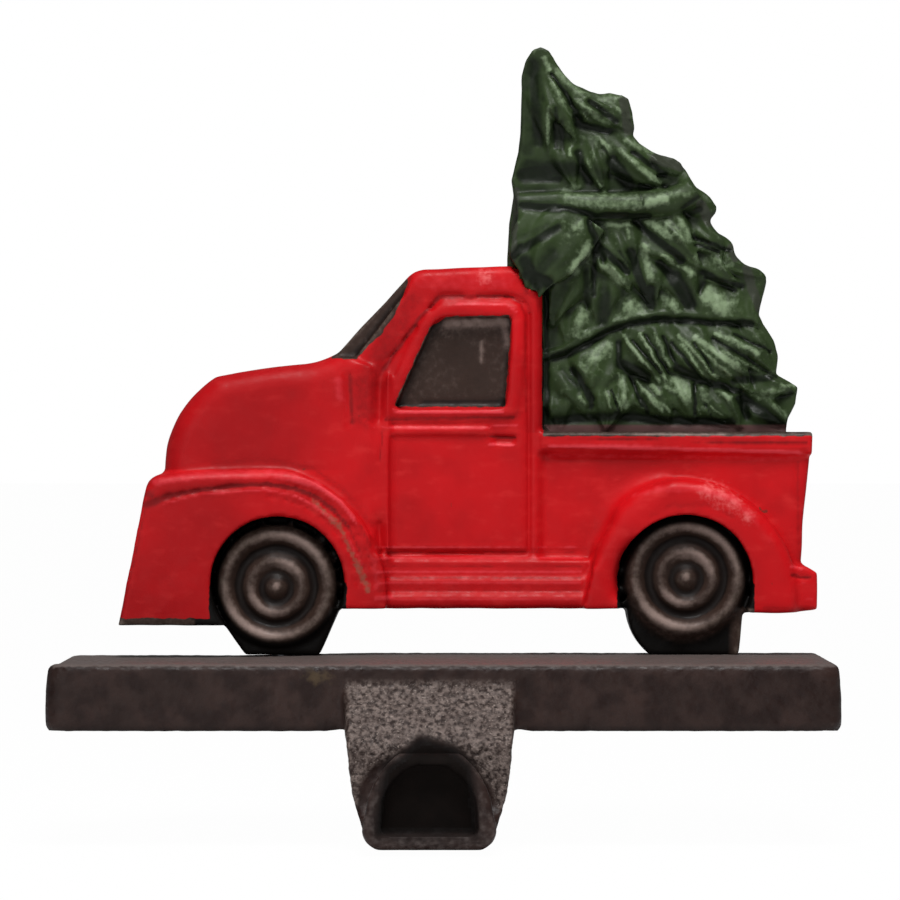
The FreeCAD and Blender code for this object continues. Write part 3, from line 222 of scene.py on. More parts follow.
LEAVES = (
    (21.6, 136.6, 38.4, 126.4, 4.6, 3.0, -3.0, 3, 0.0),
    (20.6, 138.0, 27.8, 121.4, 4.6, 3.8, -1.0, 2, 0.3),
    (19.6, 138.0, 21.8, 119.4, 4.6, 3.2, 0.0, 1, 0.0),
    (27.0, 131.6, 34.6, 123.6, 4.4, 2.0, -0.4, 3, 0.0),
    (33.0, 130.4, 39.4, 123.4, 4.4, 2.6, -0.4, 2, 0.0),
    (25.0, 123.8, 27.4, 111.8, 5.6, 3.0, -0.6, 2, 0.0),
    (29.4, 123.8, 33.8, 110.8, 6.0, 3.2, 0.2, 3, 0.0),
    (33.2, 123.4, 45.6, 111.2, 6.6, 3.8, -0.6, 3, 0.2),
    (38.8, 119.8, 49.4, 114.4, 3.8, 2.8, -0.8, 2, 0.0),
    (48.4, 114.2, 54.2, 108.2, 4.6, 2.6, 0.0, 1, 0.0),
    (51.0, 110.4, 56.4, 104.6, 4.4, 2.4, 0.0, 1, 0.0),
    (29.4, 105.4, 17.8, 89.8, 9.6, 3.0, -1.0, 2, 4.6),
    (22.4, 105.6, 15.8, 92.6, 8.0, 2.0, -0.6, 1, 4.2),
    (19.6, 103.0, 17.0, 90.6, 8.0, 2.0, 0.0, 1, 5.0),
    (23.8, 102.0, 20.0, 88.7, 9.4, 2.0, 0.0, 1, 5.4),
    (30.6, 101.0, 22.4, 82.2, 8.2, 2.8, -0.8, 2, 0.8),
    (31.8, 106.0, 38.8, 90.2, 10.4, 3.6, 0.4, 4, 0.4),
    (32.6, 98.0, 33.2, 81.4, 8.0, 2.8, 0.0, 2, 0.0),
    (41.4, 100.8, 44.0, 86.2, 7.4, 3.2, 0.2, 2, 0.2),
    (45.8, 99.4, 52.8, 85.2, 7.8, 3.0, 0.2, 2, 0.0),
    (40.4, 106.0, 53.8, 94.6, 9.4, 4.0, 0.4, 4, 0.4),
    (50.4, 105.0, 60.2, 96.8, 5.8, 3.0, -0.2, 3, 0.0),
    (52.6, 98.2, 62.2, 90.6, 5.8, 3.0, 0.0, 2, 0.0),
    (56.8, 99.6, 66.2, 92.8, 4.8, 2.4, -0.4, 2, 0.0),
    (29.4, 91.0, 27.2, 75.6, 9.6, 1.8, 0.0, 3, 0.0),
    (39.4, 92.4, 38.4, 79.0, 9.6, 1.8, 0.0, 3, 0.0),
    (48.8, 93.4, 48.2, 79.8, 9.6, 1.9, 0.0, 3, 0.0),
    (57.4, 93.2, 57.6, 79.8, 9.2, 2.3, 0.0, 3, 0.0),
    (63.6, 91.6, 64.4, 79.8, 6.2, 2.0, 0.0, 2, 0.0),
    (34.4, 79.8, 30.0, 65.6, 9.0, 3.4, -0.6, 3, 0.3),
    (24.2, 76.2, 30.8, 63.0, 8.0, 3.0, 0.4, 2, 0.0),
    (23.2, 71.0, 24.4, 61.0, 6.6, 2.4, 0.0, 2, 0.0),
    (37.6, 82.4, 46.6, 69.8, 9.4, 3.8, 0.2, 4, 0.3),
    (45.4, 83.4, 56.8, 70.2, 9.8, 4.0, 0.2, 4, 0.3),
    (52.6, 83.4, 64.6, 68.4, 8.8, 4.0, 0.2, 4, 0.3),
    (59.4, 82.4, 69.6, 72.2, 7.0, 3.2, -0.2, 3, 0.0),
    (36.2, 75.0, 34.0, 60.4, 10.4, 3.6, 0.0, 5, 0.0),
    (40.8, 73.2, 47.4, 62.4, 8.6, 3.4, 0.2, 4, 0.0),
    (49.0, 74.0, 52.8, 62.4, 8.4, 3.4, 0.0, 4, 0.0),
    (53.8, 72.2, 62.2, 61.2, 9.0, 3.4, 0.2, 4, 0.0),
    (62.6, 71.2, 73.8, 68.4, 4.8, 3.4, -0.2, 2, 0.0),
    (62.4, 68.8, 72.0, 61.4, 5.8, 3.0, 0.0, 2, 0.0),
)
# What stands out on the tree's face: where pale, dry brush and painted highlight; where dark, painted shade.
TREE_STROKES = (
    (25.3, 108.7, 40.6, 108.1, 3.6, 0.5), (24.9, 110.8, 28.1, 111.6, 1.4, 0.6),
    (15.6, 108.1, 23.3, 108.1, 3.2, -0.45), (16.4, 134.3, 15.8, 119.8, 1.6, -0.5),
    (15.6, 119.8, 14.5, 114.2, 1.4, -0.45), (14.4, 111.8, 13.8, 100.1, 1.6, -0.4),
    (18.9, 137.5, 19.3, 120.6, 2.8, -0.35), (24.9, 103.7, 28.9, 102.9, 2.4, 0.35),
    (27.7, 129.1, 36.6, 130.7, 2, 0.35), (23.7, 136.3, 28.5, 131.9, 1.2, 0.3),
    (18, 137.9, 17.1, 132.6, 2.1, -0.55), (18, 132.6, 17.2, 125.8, 2.7, -0.5),
    (18.4, 125.8, 17.5, 119.3, 3.2, -0.45), (19.9, 134.7, 20.5, 129.9, 1.8, -0.5),
    (17.5, 115.8, 27.6, 115.2, 3.8, -0.7), (18.1, 113.4, 24, 113.3, 1.5, -0.8),
    (29.9, 114.3, 34.6, 114, 2.4, -0.5), (15.5, 100.4, 21.4, 103.1, 1.8, -0.4),
    (14.3, 99.5, 15.5, 104, 0.9, 0.12), (21.5, 89.4, 21.5, 61, 1.3, -0.9),
    (20.9, 138.8, 21.9, 136.4, 1.3, 0.8), (18.8, 137.6, 19, 129.9, 2.8, -0.75, 19.6, 121.1, 2.8, -0.7),
    (17.4, 131.1, 17.1, 121.1, 1.3, 0.15),
    (22.5, 135.3, 25.5, 131.4, 0.8, -1, 27.7, 127.6, 1, -1, 29, 124.6, 1.5, -1),
    (22.1, 134.4, 24.9, 129.4, 1.2, 0.55, 27.3, 125.8, 1.1, 0.35),
    (24, 135.6, 28.1, 131.7, 1.8, 0.55, 34, 129.7, 1.5, 0.45), (30.5, 129.7, 36.1, 125.5, 1.3, -1),
    (28.1, 129.7, 34.3, 124.6, 1.2, 0.6), (28.6, 127.4, 30.8, 124.9, 0.4, 0.9),
    (28.1, 124.9, 34.6, 123.5, 1.5, -0.95), (33.5, 129.9, 37.3, 127.6, 0.9, 0.5),
    (21.7, 128.2, 21.9, 121.1, 0.9, 0.6), (23.4, 128.2, 23.4, 119.9, 0.9, -0.7),
    (19.7, 121.7, 19.6, 119.9, 0.7, 0.5), (16.9, 114.3, 21.1, 114.6, 3.5, -1),
    (24.5, 125.2, 24.6, 119.9, 1.5, -0.6), (29, 122, 32.9, 122, 1.5, 0.3),
    (26.4, 119.6, 26.4, 118.1, 0.8, 0.9), (28.1, 118.7, 30.5, 112.8, 1.8, -0.8),
    (29.9, 117.3, 32.9, 111.6, 0.6, 0.7), (32, 121.1, 31.1, 118.1, 1.2, 0.3),
    (35.5, 117, 38.8, 112.5, 3, -1), (33.5, 121.1, 39.7, 112.8, 1.4, 0.75),
    (37, 119.3, 45, 112.5, 1.7, 0.7), (38.2, 121.4, 43.8, 118.7, 1.5, 0.5),
    (39.7, 118.7, 46.4, 114.3, 1.4, -0.9), (33.2, 119.9, 36.1, 115.8, 0.6, -0.7),
    (41.1, 111.9, 47, 111.6, 1.1, -0.7), (25.2, 111.6, 25.5, 108.1, 1, 0.6),
    (25.8, 111.9, 28.1, 111.9, 0.7, 0.4), (28.1, 109.9, 40, 109.9, 1.8, 0.25),
    (42.3, 108.1, 46.1, 109, 2.1, 1), (41.1, 110.5, 42, 107.5, 0.4, -0.5),
    (16.3, 107.5, 24.3, 107.1, 1.8, -0.9, 32.3, 105.5, 1.4, -1, 42.9, 105.5, 1.4, -1),
    (14.9, 111.1, 20.5, 111.1, 2.1, -0.35), (29, 104.3, 27, 102.5, 1.2, 0.6),
    (30.2, 104.3, 33.5, 96.3, 1.5, -0.95), (32, 103.7, 39.4, 103.7, 1.5, 0.7),
    (38.2, 103.1, 38.8, 100.7, 0.9, 0.6), (40.2, 104.3, 44.1, 101, 1.5, -1, 50, 96.1, 1.8, -1),
    (42.6, 104.3, 47, 101, 1.8, 0.9), (47, 104, 50.9, 100.4, 1.8, 0.6),
    (51.2, 105.5, 53.8, 106.9, 1.2, -0.7), (24, 103.1, 16, 98.1, 1.8, -0.8),
    (16, 98.7, 14.6, 96.9, 1.8, -0.9), (52.9, 99.3, 57.9, 98.1, 0.9, -0.8),
    (30.5, 98.9, 27.3, 94, 2.3, 0.85), (33.2, 95.7, 37.1, 91.9, 2.1, 0.8),
    (31.8, 98.2, 31.3, 88.8, 1.4, -0.85), (31.8, 99.6, 38.5, 93.6, 1.6, -1),
    (36.7, 98.2, 39.5, 94, 0.7, -0.6), (42, 98.9, 43.2, 91.6, 2.1, 0.75),
    (39.2, 97.8, 43, 87.4, 2.1, -0.95), (46, 97, 52.1, 93.6, 1.6, 0.85), (45.4, 95.4, 48.6, 91.6, 2.1, -1),
    (48.6, 92.3, 51.7, 87, 3.1, -1), (53.5, 96.4, 59.7, 95.4, 2.8, 0.4), (54.9, 91.9, 60.4, 91, 0.6, 0.8),
    (54.5, 93.6, 61.1, 89.8, 1.3, -0.9), (55.6, 88.8, 58.4, 86.3, 3.8, 1), (46.5, 88.1, 49.3, 86, 2.8, 0.7),
    (39.2, 86.3, 41.6, 85.3, 3.5, 0.7), (35.7, 83.9, 38.1, 84.6, 2.1, 0.5),
    (43.2, 90.2, 43.4, 86.7, 2.4, -0.9), (29.4, 85.3, 28.4, 82.8, 2.8, 0.7),
    (27, 80.7, 29.8, 80.7, 2.1, 0.5), (33.9, 88.8, 33.6, 83.2, 2.8, -0.7),
    (23.1, 88.8, 22.4, 75.9, 2.8, -0.5),
    (22.8, 75.7, 26.6, 76.6, 1.7, -1, 30.1, 78.3, 1.7, -1, 34.3, 81.1, 1.5, -1, 39.2, 82.8, 1.5, -1, 44.8,
     83.7, 1.5, -1, 51, 83.4, 1.5, -1, 60.4, 82.7, 1.5, -1, 64.6, 82.8, 1.6, -1),
    (31.1, 75.9, 34.3, 77.6, 3.1, 0.65), (29.1, 73.8, 29.8, 72.7, 1.7, 0.5),
    (36.7, 78.6, 36.7, 73.8, 1.5, -0.85), (37.1, 74.1, 42.7, 71.7, 2.3, -1),
    (37.8, 80, 45.1, 70.3, 0.9, 0.75), (41.3, 80.7, 46.5, 70.6, 0.8, 0.75),
    (44.1, 80.7, 47.9, 72.4, 0.7, 0.6), (39.5, 79.3, 45.4, 72.4, 0.6, -0.9),
    (42.3, 80.4, 47.2, 72.4, 0.6, -0.9), (46.1, 80, 48.6, 74.5, 0.9, -0.9),
    (49.1, 80.4, 57.3, 71.3, 0.8, 0.8), (50, 78.3, 54.2, 72, 0.7, 0.8), (47.9, 78.6, 53.5, 71.7, 0.8, -1),
    (52.4, 78.6, 56.6, 72.7, 0.6, -0.9), (52.8, 79.7, 61.5, 73.8, 1.4, 0.9),
    (57.3, 80.7, 66, 76.6, 1.2, 0.7), (56.6, 79.7, 65.3, 74.5, 0.6, -0.9), (58, 77.3, 66, 73.1, 0.7, 0.5),
    (53.5, 77.6, 63.2, 68.9, 0.8, 0.7), (48.9, 73.4, 54.5, 70.6, 2, -1, 62.2, 68.5, 1.6, -1),
    (25, 73.1, 26.3, 70.3, 1.7, 0.8, 30.1, 65.7, 1, 1), (27, 73.1, 31.1, 66.8, 1.5, -0.9),
    (37.3, 72.4, 38.1, 65.4, 1.7, 0.7), (33.9, 68.9, 35.3, 63.7, 0.6, 0.7),
    (36, 67.1, 38.1, 62.6, 0.6, 0.8), (35, 68.9, 36.7, 64, 0.4, -0.9), (39.2, 71.7, 41.6, 65.4, 0.9, -0.9),
    (39.9, 71.3, 45.8, 64, 1, 0.7), (43.5, 69.9, 45.1, 68.2, 1, 1), (43, 67.8, 48.9, 63.3, 0.8, 0.6),
    (41.6, 66.8, 43, 63.3, 1, -0.8), (49.1, 71, 51, 67.8, 2.8, 0.85), (52.6, 69.9, 52.8, 63.7, 0.9, -0.9),
    (46.5, 69.6, 51.7, 66.8, 0.9, 0.7), (54, 69.4, 55.2, 66.8, 1.7, 0.5),
    (57.7, 69.1, 60.1, 67.1, 1.4, 0.85), (53.1, 65, 54.2, 63, 0.5, 0.7), (55.9, 65.4, 59.4, 62.6, 0.5, 0.7),
    (54.9, 65.7, 56.6, 62.6, 0.4, -0.8), (63.9, 67.8, 66.3, 66.8, 1, 0.8),
    (62.2, 66.8, 63.9, 63.3, 1.7, -1),
    (23.1, 62.3, 36, 63.3, 2.1, -0.8, 46.5, 62.4, 2.1, -0.9, 60.4, 61.9, 2.1, -0.9),
    (16.8, 95.7, 19.6, 90.9, 3.1, -0.85), (64.4, 67.2, 71.6, 68.3, 2, 0.4),
    (69.4, 65.3, 72.1, 63.1, 1.4, 0.5), (63.3, 66.7, 71, 61.2, 2.4, -1), (71, 67.6, 73.2, 68.1, 1.3, -0.7),
    (71, 69.7, 73.8, 69.7, 0.8, 0.6), (49.6, 103.8, 52.3, 100.5, 1.9, 0.6),
    (46.8, 109.9, 51.2, 109.9, 1.4, 0.4), (50.1, 107.1, 53.4, 109.3, 1, -0.7),
    (52.6, 100.8, 60, 98.3, 0.9, -0.9), (54, 96.7, 60, 95.3, 1.7, 0.45),
    (55.1, 92.5, 62.8, 90.6, 1.2, -0.85), (53.7, 89.5, 55.6, 92.8, 1.1, -0.6),
    (60.6, 89.5, 61.1, 86.2, 2.8, 0.25), (61.1, 80.4, 68.8, 76.9, 0.7, -0.8),
    (57.3, 79.1, 69.9, 71.4, 0.8, -0.7), (53.4, 79.6, 61.1, 74.1, 0.8, 0.5),
    (60, 74.1, 66.6, 71.4, 1.1, 0.4), (61.1, 70.8, 68.8, 71.4, 1.7, -0.8),
    (65.5, 70.8, 69.9, 72.5, 0.9, 0.4), (25.4, 90.1, 22.1, 82.9, 2.4, -0.45),
    (29.8, 93.9, 30.3, 86.8, 1.7, -0.7), (33.6, 89.5, 33.1, 82.9, 2.8, -0.6),
    (17.7, 92.8, 21.5, 91.2, 2.8, -1), (22.6, 97.2, 19.3, 92.8, 3.3, -0.6),
    (28.1, 102.7, 24.8, 100, 2.2, 0.25), (16.6, 107.1, 24.3, 106.6, 1.4, -0.8),
    (24.8, 73, 28.1, 68.6, 1.7, -0.7), (29.8, 68.6, 30.9, 65.3, 1.7, -0.8),
)
# The ends and the side of the boughs that are painted grey.
GREY_ENDS = (
    (37.7, 129.7, 38.8, 123.5, 2.1, 1), (44.4, 117.6, 49.7, 115.9, 2.2, 1),
    (54.1, 107.8, 55.7, 104.3, 2.2, 1), (15.1, 111.1, 14.4, 96.3, 1.3, 1), (60.4, 98.9, 61.1, 96.4, 1.7, 1),
    (63.6, 94.3, 66.2, 86.3, 2.1, 1),
)
# Where the tree's outline is pushed in or out: place, radius and how far; and two tips smoothed away.
OUTLINE_NUDGES = (
    (62.4, 96.4, 2.8, -2.8), (66.6, 93.0, 2.6, 1.2), (67.4, 86.6, 3.0, -1.1), (52.6, 113.4, 2.4, -1.3),
    (56.4, 107.6, 2.4, 1.0), (56.8, 103.2, 2.2, -1.0),
)
SMOOTHED_TIPS, TIP_RADIUS = ((28.6, 132.8), (34.8, 131.6)), 2.6
# The hollow behind the tree's core.
TREE_RECESS = (
    (24.7, 64.8), (64.0, 64.8), (61.0, 80.4), (50.7, 92.7), (45.9, 104.2), (36.2, 114.0), (27.7, 125.5),
    (22.3, 125.5), (22.3, 98.4), (25.9, 89.4),
)
RECESS_DEPTH = 6.7
# The tree's strokes, as the truck's above; its front; and the height below which it is brown.
TREE_CUT, TREE_RISE, TREE_WANDER = 0.75, 0.4, 0.3
TREE_FRONT_Y = 54.4
TREE_FOOT_Z = 61.4
# The core stands this far in from the back, and its front edge slopes by this much inwards and back.
CORE_INSET, CORE_SLOPE, CORE_SLOPE_DEPTH = 0.3, 1.6, 3.2
# Shares of a leaf's length at which it is widest and stands highest, and how far it droops and tapers.
LEAF_SHOULDER, LEAF_CREST, LEAF_DROOP, LEAF_TAPER = 0.4, 0.55, 0.55, 0.80
# A leaf's half width as a share of its stated width, how far its root lies behind the tree's front, how
# thick it is, and how deep the grooves between its needles are.
LEAF_FULLNESS, LEAF_SETBACK, LEAF_THICKNESS, NEEDLE_DEPTH = 0.66, 0.9, 5.0, 0.36
# The rope and the cord: path, width, how far before the tree's front they start, and how far they bulge.
ROPE = (((15.2, 107.2), (24.0, 107.8), (36.0, 107.4), (47.0, 108.4), (53.4, 110.6)), 5.6, 1.4, 2.2)
CORD = (
    ((19.6, 75.6), (25.0, 77.0), (31.4, 81.0), (38.0, 83.4), (46.0, 84.7), (54.0, 84.5), (66.6, 83.2)),
    1.8, 0.6, 0.7,
)
STRAP_THICKNESS, STRAP_SLICES = 3.0, 9

# The camera looks along +Y from before the mantel's edge, where the photograph was taken from.
CAMERA_X, CAMERA_Z, CAMERA_LENS = 0.0011, 0.0561, 4.97 * 1.1 / 0.9 * 36.0
LAMPS_AIM = (0.0, 0.05, 0.05)
FLOOR_SIZE, FLOOR_GAP, FLOOR_GLOW, SKY_LIGHT = 12.0, 0.001, 0.985, 0.14


def fade(values, start, end):
    """Rise from 0 at start to 1 at end, which may lie on either side of start."""
    return np.clip((values - start) / (end - start), 0.0, 1.0)


def as_array(mesh, name, width, collection="vertices"):
    """Read one per-element value of a mesh as rows of numbers."""
    items = getattr(mesh, collection)
    values = np.empty(len(items) * width, dtype=np.float64)
    items.foreach_get(name, values)
    return values.reshape(-1, width)


def node_bmesh(node):
    """Copy a CAD node's mesh with its loose triangles merged."""
    copy = bmesh.new()
    copy.from_mesh(bpy.data.objects[node].data)
    bmesh.ops.remove_doubles(copy, verts=copy.verts, dist=0.002 * MM)
    return copy


def finish_bmesh(name, shape):
    """Turn a bmesh into a piece at the origin."""
    mesh = bpy.data.meshes.new(name)
    shape.to_mesh(mesh)
    shape.free()
    piece = bpy.data.objects.new(name, mesh)
    bpy.context.scene.collection.objects.link(piece)
    return piece


def cast_skin(piece, voxel, softening):
    """Melt a piece's overlapping solids into one softened skin, as a sand mould does."""
    skin = piece.modifiers.new("skin", "REMESH")
    skin.mode = "VOXEL"
    skin.voxel_size = voxel * MM
    soft = piece.modifiers.new("softened", "SMOOTH")
    soft.factor = 0.5
    soft.iterations = softening
    bpy.context.view_layer.update()
    melted = bpy.data.meshes.new_from_object(piece.evaluated_get(bpy.context.evaluated_depsgraph_get()))
    piece.modifiers.clear()
    piece.data = melted
    for polygon in melted.polygons:
        polygon.use_smooth = True
    return melted


def neighbour_mean(values, edges, count):
    """Average each vertex's value over the vertices it shares an edge with."""
    total = np.zeros_like(values)
    for side in (0, 1):
        here, there = edges[:, side], edges[:, 1 - side]
        for column in range(values.shape[1]):
            total[:, column] += np.bincount(here, weights=values[there, column], minlength=len(values))
    return total / count[:, None]


def store(mesh, name, values):
    """Keep one number per vertex for the materials to read."""
    mesh.attributes.new(name, "FLOAT", "POINT").data.foreach_set("value", values.astype(np.float32))


def links(mesh):
    """Give a mesh's edges and how many of them meet at each vertex."""
    edges = as_array(mesh, "vertices", 2, "edges").astype(np.int64)
    return edges, np.maximum(np.bincount(edges.ravel(), minlength=len(mesh.vertices)), 1)


def move(mesh, places):
    """Put a mesh's vertices at new places."""
    mesh.vertices.foreach_set("co", places.ravel())
    mesh.update()


def faces_front(mesh):
    """Say which vertices face the viewer or sideways, and not the back."""
    return as_array(mesh, "normal", 3)[:, 1] < 0.5


def soften(mesh, amount, rounds):
    """Ease the skin where amount is near 1, as thick paint does."""
    edges, count = links(mesh)
    places = as_array(mesh, "co", 3)
    for _ in range(rounds):
        places += (neighbour_mean(places, edges, count) - places) * amount[:, None]
    move(mesh, places)


def store_relief(mesh, name, unit, spread):
    """Store how far each place stands proud of its surroundings, in units of so many millimetres."""
    places = as_array(mesh, "co", 3)
    normals = as_array(mesh, "normal", 3)
    edges, count = links(mesh)
    blurred = places
    for _ in range(spread):
        blurred = neighbour_mean(blurred, edges, count)
    relief = np.einsum("ij,ij->i", places - blurred, normals) / (unit * MM)
    relief = neighbour_mean(relief[:, None], edges, count)[:, 0]
    store(mesh, name, relief)


def roughen(mesh, height, scale, seed):
    """Move the skin in and out a little, as a sand-cast surface lies."""
    places = as_array(mesh, "co", 3)
    normals = as_array(mesh, "normal", 3)
    shift = Vector((seed, seed * 0.7, -seed))
    waves = np.array([noise.noise(Vector(place) / (scale * MM) + shift) for place in places])
    move(mesh, places + normals * (waves * height * MM)[:, None])


def distance_to_line(points, start, end):
    """Distance in millimetres from points (x, z) to a straight line between two places."""
    run = np.array(end) - np.array(start)
    offset = points - np.array(start)
    along = np.clip(offset @ run / (run @ run), 0.0, 1.0)
    return np.linalg.norm(offset - along[:, None] * run, axis=1)


def inside_polygon(points, corners):
    """Signed distance in millimetres from points (x, z) to a polygon, positive inside."""
    nearest = np.full(len(points), np.inf)
    inside = np.zeros(len(points), dtype=bool)
    for (x1, z1), (x2, z2) in zip(corners, corners[1:] + corners[:1]):
        nearest = np.minimum(nearest, distance_to_line(points, (x1, z1), (x2, z2)))
        crosses = (z1 > points[:, 1]) != (z2 > points[:, 1])
        slope = (x2 - x1) / (z2 - z1) if z2 != z1 else 0.0
        inside ^= crosses & (points[:, 0] < slope * (points[:, 1] - z1) + x1)
    return np.where(inside, nearest, -nearest)


def patches(points, places):
    """How near points lie to the middle of any of some round places, 1 there and 0 at their rims."""
    return np.max([1.0 - np.hypot(points[:, 0] - x, points[:, 1] - z) / r for x, z, r in places], axis=0)


def wandering(places, amount):
    """Give places as (x, z) in millimetres, shifted about, so that lines drawn there aren't ruled."""
    shifts = (Vector((3, 0, 0)), Vector((17, 0, 0)))
    wander = [[noise.noise(Vector(place) / (2.2 * MM) + shift) for place in places] for shift in shifts]
    return places[:, (0, 2)] / MM + np.array(wander).T * amount


def stamp(pale, dark, share, value):
    """Mark the pale or the dark side, as the value's sign says, wherever that is more than it has."""
    side = pale if value > 0 else dark
    np.maximum(side, abs(value) * share, out=side)


def draw_strokes(flat, strokes):
    """Draw strokes at places (x, z); give how pale and how dark each place becomes."""
    pale, dark = np.zeros(len(flat)), np.zeros(len(flat))
    for x, z, *further in strokes:
        for x2, z2, width, value in zip(*(further[column::4] for column in range(4))):
            near = distance_to_line(flat, (x, z), (x2, z2)) / (width / 2)
            stamp(pale, dark, 1.0 / (1.0 + near ** 4), value)
            x, z = x2, z2
    return pale, dark


# Materials


def linear(red, green, blue):
    """Turn a colour of 0 to 255 as seen on a screen into the shader's linear values."""
    channels = [value / 255 for value in (red, green, blue)]
    return tuple(c / 12.92 if c <= 0.04045 else ((c + 0.055) / 1.055) ** 2.4 for c in channels)


def new_material(name, specular):
    """Start a node material and give it back with its shader and a maker of nodes."""
    material = bpy.data.materials.new(name)
    material.use_nodes = True
    shader = material.node_tree.nodes["Principled BSDF"]
    shader.inputs["Specular IOR Level"].default_value = specular
    return material, shader, Nodes(material.node_tree)


class Nodes:
    """Short ways to write a node tree."""

    def __init__(self, tree):
        self.tree = tree
        self.place = tree.nodes.new("ShaderNodeTexCoord").outputs["Object"]

    def node(self, kind, **values):
        made = self.tree.nodes.new(kind)
        for name, value in values.items():
            setattr(made, name, value)
        return made

    def link(self, source, target):
        self.tree.links.new(source, target)

    def attribute(self, name):
        return self.node("ShaderNodeAttribute", attribute_name=name).outputs["Fac"]

    def texture(self, kind, size, stretch=(1.0, 1.0, 1.0), **values):
        """A texture whose features are about size millimetres across."""
        mapping = self.node("ShaderNodeMapping")
        self.link(self.place, mapping.inputs["Vector"])
        mapping.inputs["Scale"].default_value = [factor / (size * MM) for factor in stretch]
        made = self.node(kind, **values)
        self.link(mapping.outputs["Vector"], made.inputs["Vector"])
        made.inputs["Scale"].default_value = 1.0
        return made

    def noise(self, size, detail=2.0, stretch=(1.0, 1.0, 1.0)):
        made = self.texture("ShaderNodeTexNoise", size, stretch)
        made.inputs["Detail"].default_value = detail
        return made.outputs["Fac"]

    def math(self, operation, first, second=0.0):
        made = self.node("ShaderNodeMath", operation=operation)
        for socket, value in zip(made.inputs, (first, second)):
            if isinstance(value, bpy.types.NodeSocket):
                self.link(value, socket)
            else:
                socket.default_value = value
        return made.outputs[0]

    def add(self, first, second):
        return self.math("ADD", first, second)

    def times(self, first, second):
        return self.math("MULTIPLY", first, second)

    def jitter(self, size, detail, amount):
        """Noise about zero, of so much from its lowest to its highest."""
        return self.times(self.math("SUBTRACT", self.noise(size, detail), 0.5), amount)

    def ramp(self, value, low, high, end=1.0, start=0.0):
        """Map value from low..high to start..end, clamped, with soft ends."""
        made = self.node("ShaderNodeMapRange", interpolation_type="SMOOTHSTEP")
        self.link(value, made.inputs["Value"])
        for name, number in (("From Min", low), ("From Max", high), ("To Min", start), ("To Max", end)):
            made.inputs[name].default_value = number
        return made.outputs["Result"]

    def depth(self, value, low, high, end=1.0):
        """Map how far value lies below zero, from low..high to 0..end."""
        return self.ramp(self.times(value, -1.0), low, high, end)

    def mix(self, factor, first, second):
        made = self.node("ShaderNodeMix", data_type="RGBA")
        self.link(factor, made.inputs["Factor"])
        for name, value in (("A", first), ("B", second)):
            socket = [s for s in made.inputs if s.name == name and s.type == "RGBA"][0]
            if isinstance(value, bpy.types.NodeSocket):
                self.link(value, socket)
            else:
                socket.default_value = (*value, 1.0)
        return [s for s in made.outputs if s.type == "RGBA"][0]

    def cloudy(self, size, detail, low, high, colour, factor):
        """A colour that drifts towards so many times its brightness."""
        return self.mix(self.ramp(self.noise(size, detail), low, high), colour, [c * factor for c in colour])

    def bump(self, height, strength, distance, normal=None):
        made = self.node("ShaderNodeBump")
        made.inputs["Strength"].default_value = strength
        made.inputs["Distance"].default_value = distance * MM
        self.link(height, made.inputs["Height"])
        if normal is not None:
            self.link(normal, made.inputs["Normal"])
        return made.outputs["Normal"]

    def brushed_skin(self, shader, waviness, dullest, shiniest):
        """Give a shader the uneven gloss and the fine grain of paint on sand-cast iron."""
        self.link(self.ramp(self.noise(2.0, 4.0), 0.3, 0.7, dullest, shiniest), shader.inputs["Roughness"])
        normal = self.bump(self.noise(waviness, 3.0), 0.35, 0.14)
        self.link(self.bump(self.noise(0.45, 2.0), 0.3, 0.05, normal), shader.inputs["Normal"])


def truck_red(n, props, relief, grain, frayed):
    """Red enamel: clouded and faded, scuffed pale, rubbed to the metal on edges; painted shade in pits, on
    shaded flanks and along dark strokes, and painted highlights along pale strokes.
    """
    red = n.cloudy(14.0, 3.0, 0.3, 0.7, props.red, 0.76)
    red = n.mix(n.ramp(n.noise(5.0, 4.0, (1.0, 1.0, 2.2)), 0.52, 0.78, 0.4), red, linear(206, 44, 44))
    scuffs = n.add(n.attribute("scuff"), n.jitter(0.9, 5.0, 1.8))
    red = n.mix(n.ramp(scuffs, 0.2, 1.3, 0.75), red, linear(226, 106, 106))
    rubbed_and_lit = n.ramp(n.add(relief, n.jitter(3.0, 5.0, 2.4)), props.wear, props.wear + 0.5)
    spots = n.times(n.ramp(n.noise(4.2, 6.0), 0.72, 0.76), 0.8)
    worn = n.math("MAXIMUM", n.times(rubbed_and_lit, n.ramp(grain, 0.3, 0.6)), spots)
    red = n.mix(worn, red, linear(84, 44, 34))
    bare = n.add(n.attribute("worn"), n.jitter(1.0, 5.0, 1.6))
    red = n.mix(n.ramp(bare, 0.3, 1.1, 0.7), red, linear(134, 84, 68))
    # Painted shade in the pits and grooves.
    red = n.mix(n.depth(relief, 0.15, 1.0, 0.75), red, linear(112, 8, 12))
    # Painted shade on the flanks and the posts.
    red = n.mix(n.attribute("shade"), red, linear(128, 7, 12))
    # Painted highlight along the pale strokes.
    red = n.mix(n.ramp(frayed, 0.1, 0.9, 0.72), red, linear(222, 66, 76))
    # Painted shade along the dark strokes.
    return n.mix(n.depth(frayed, 0.05, 0.9, 0.8), red, linear(98, 8, 11))


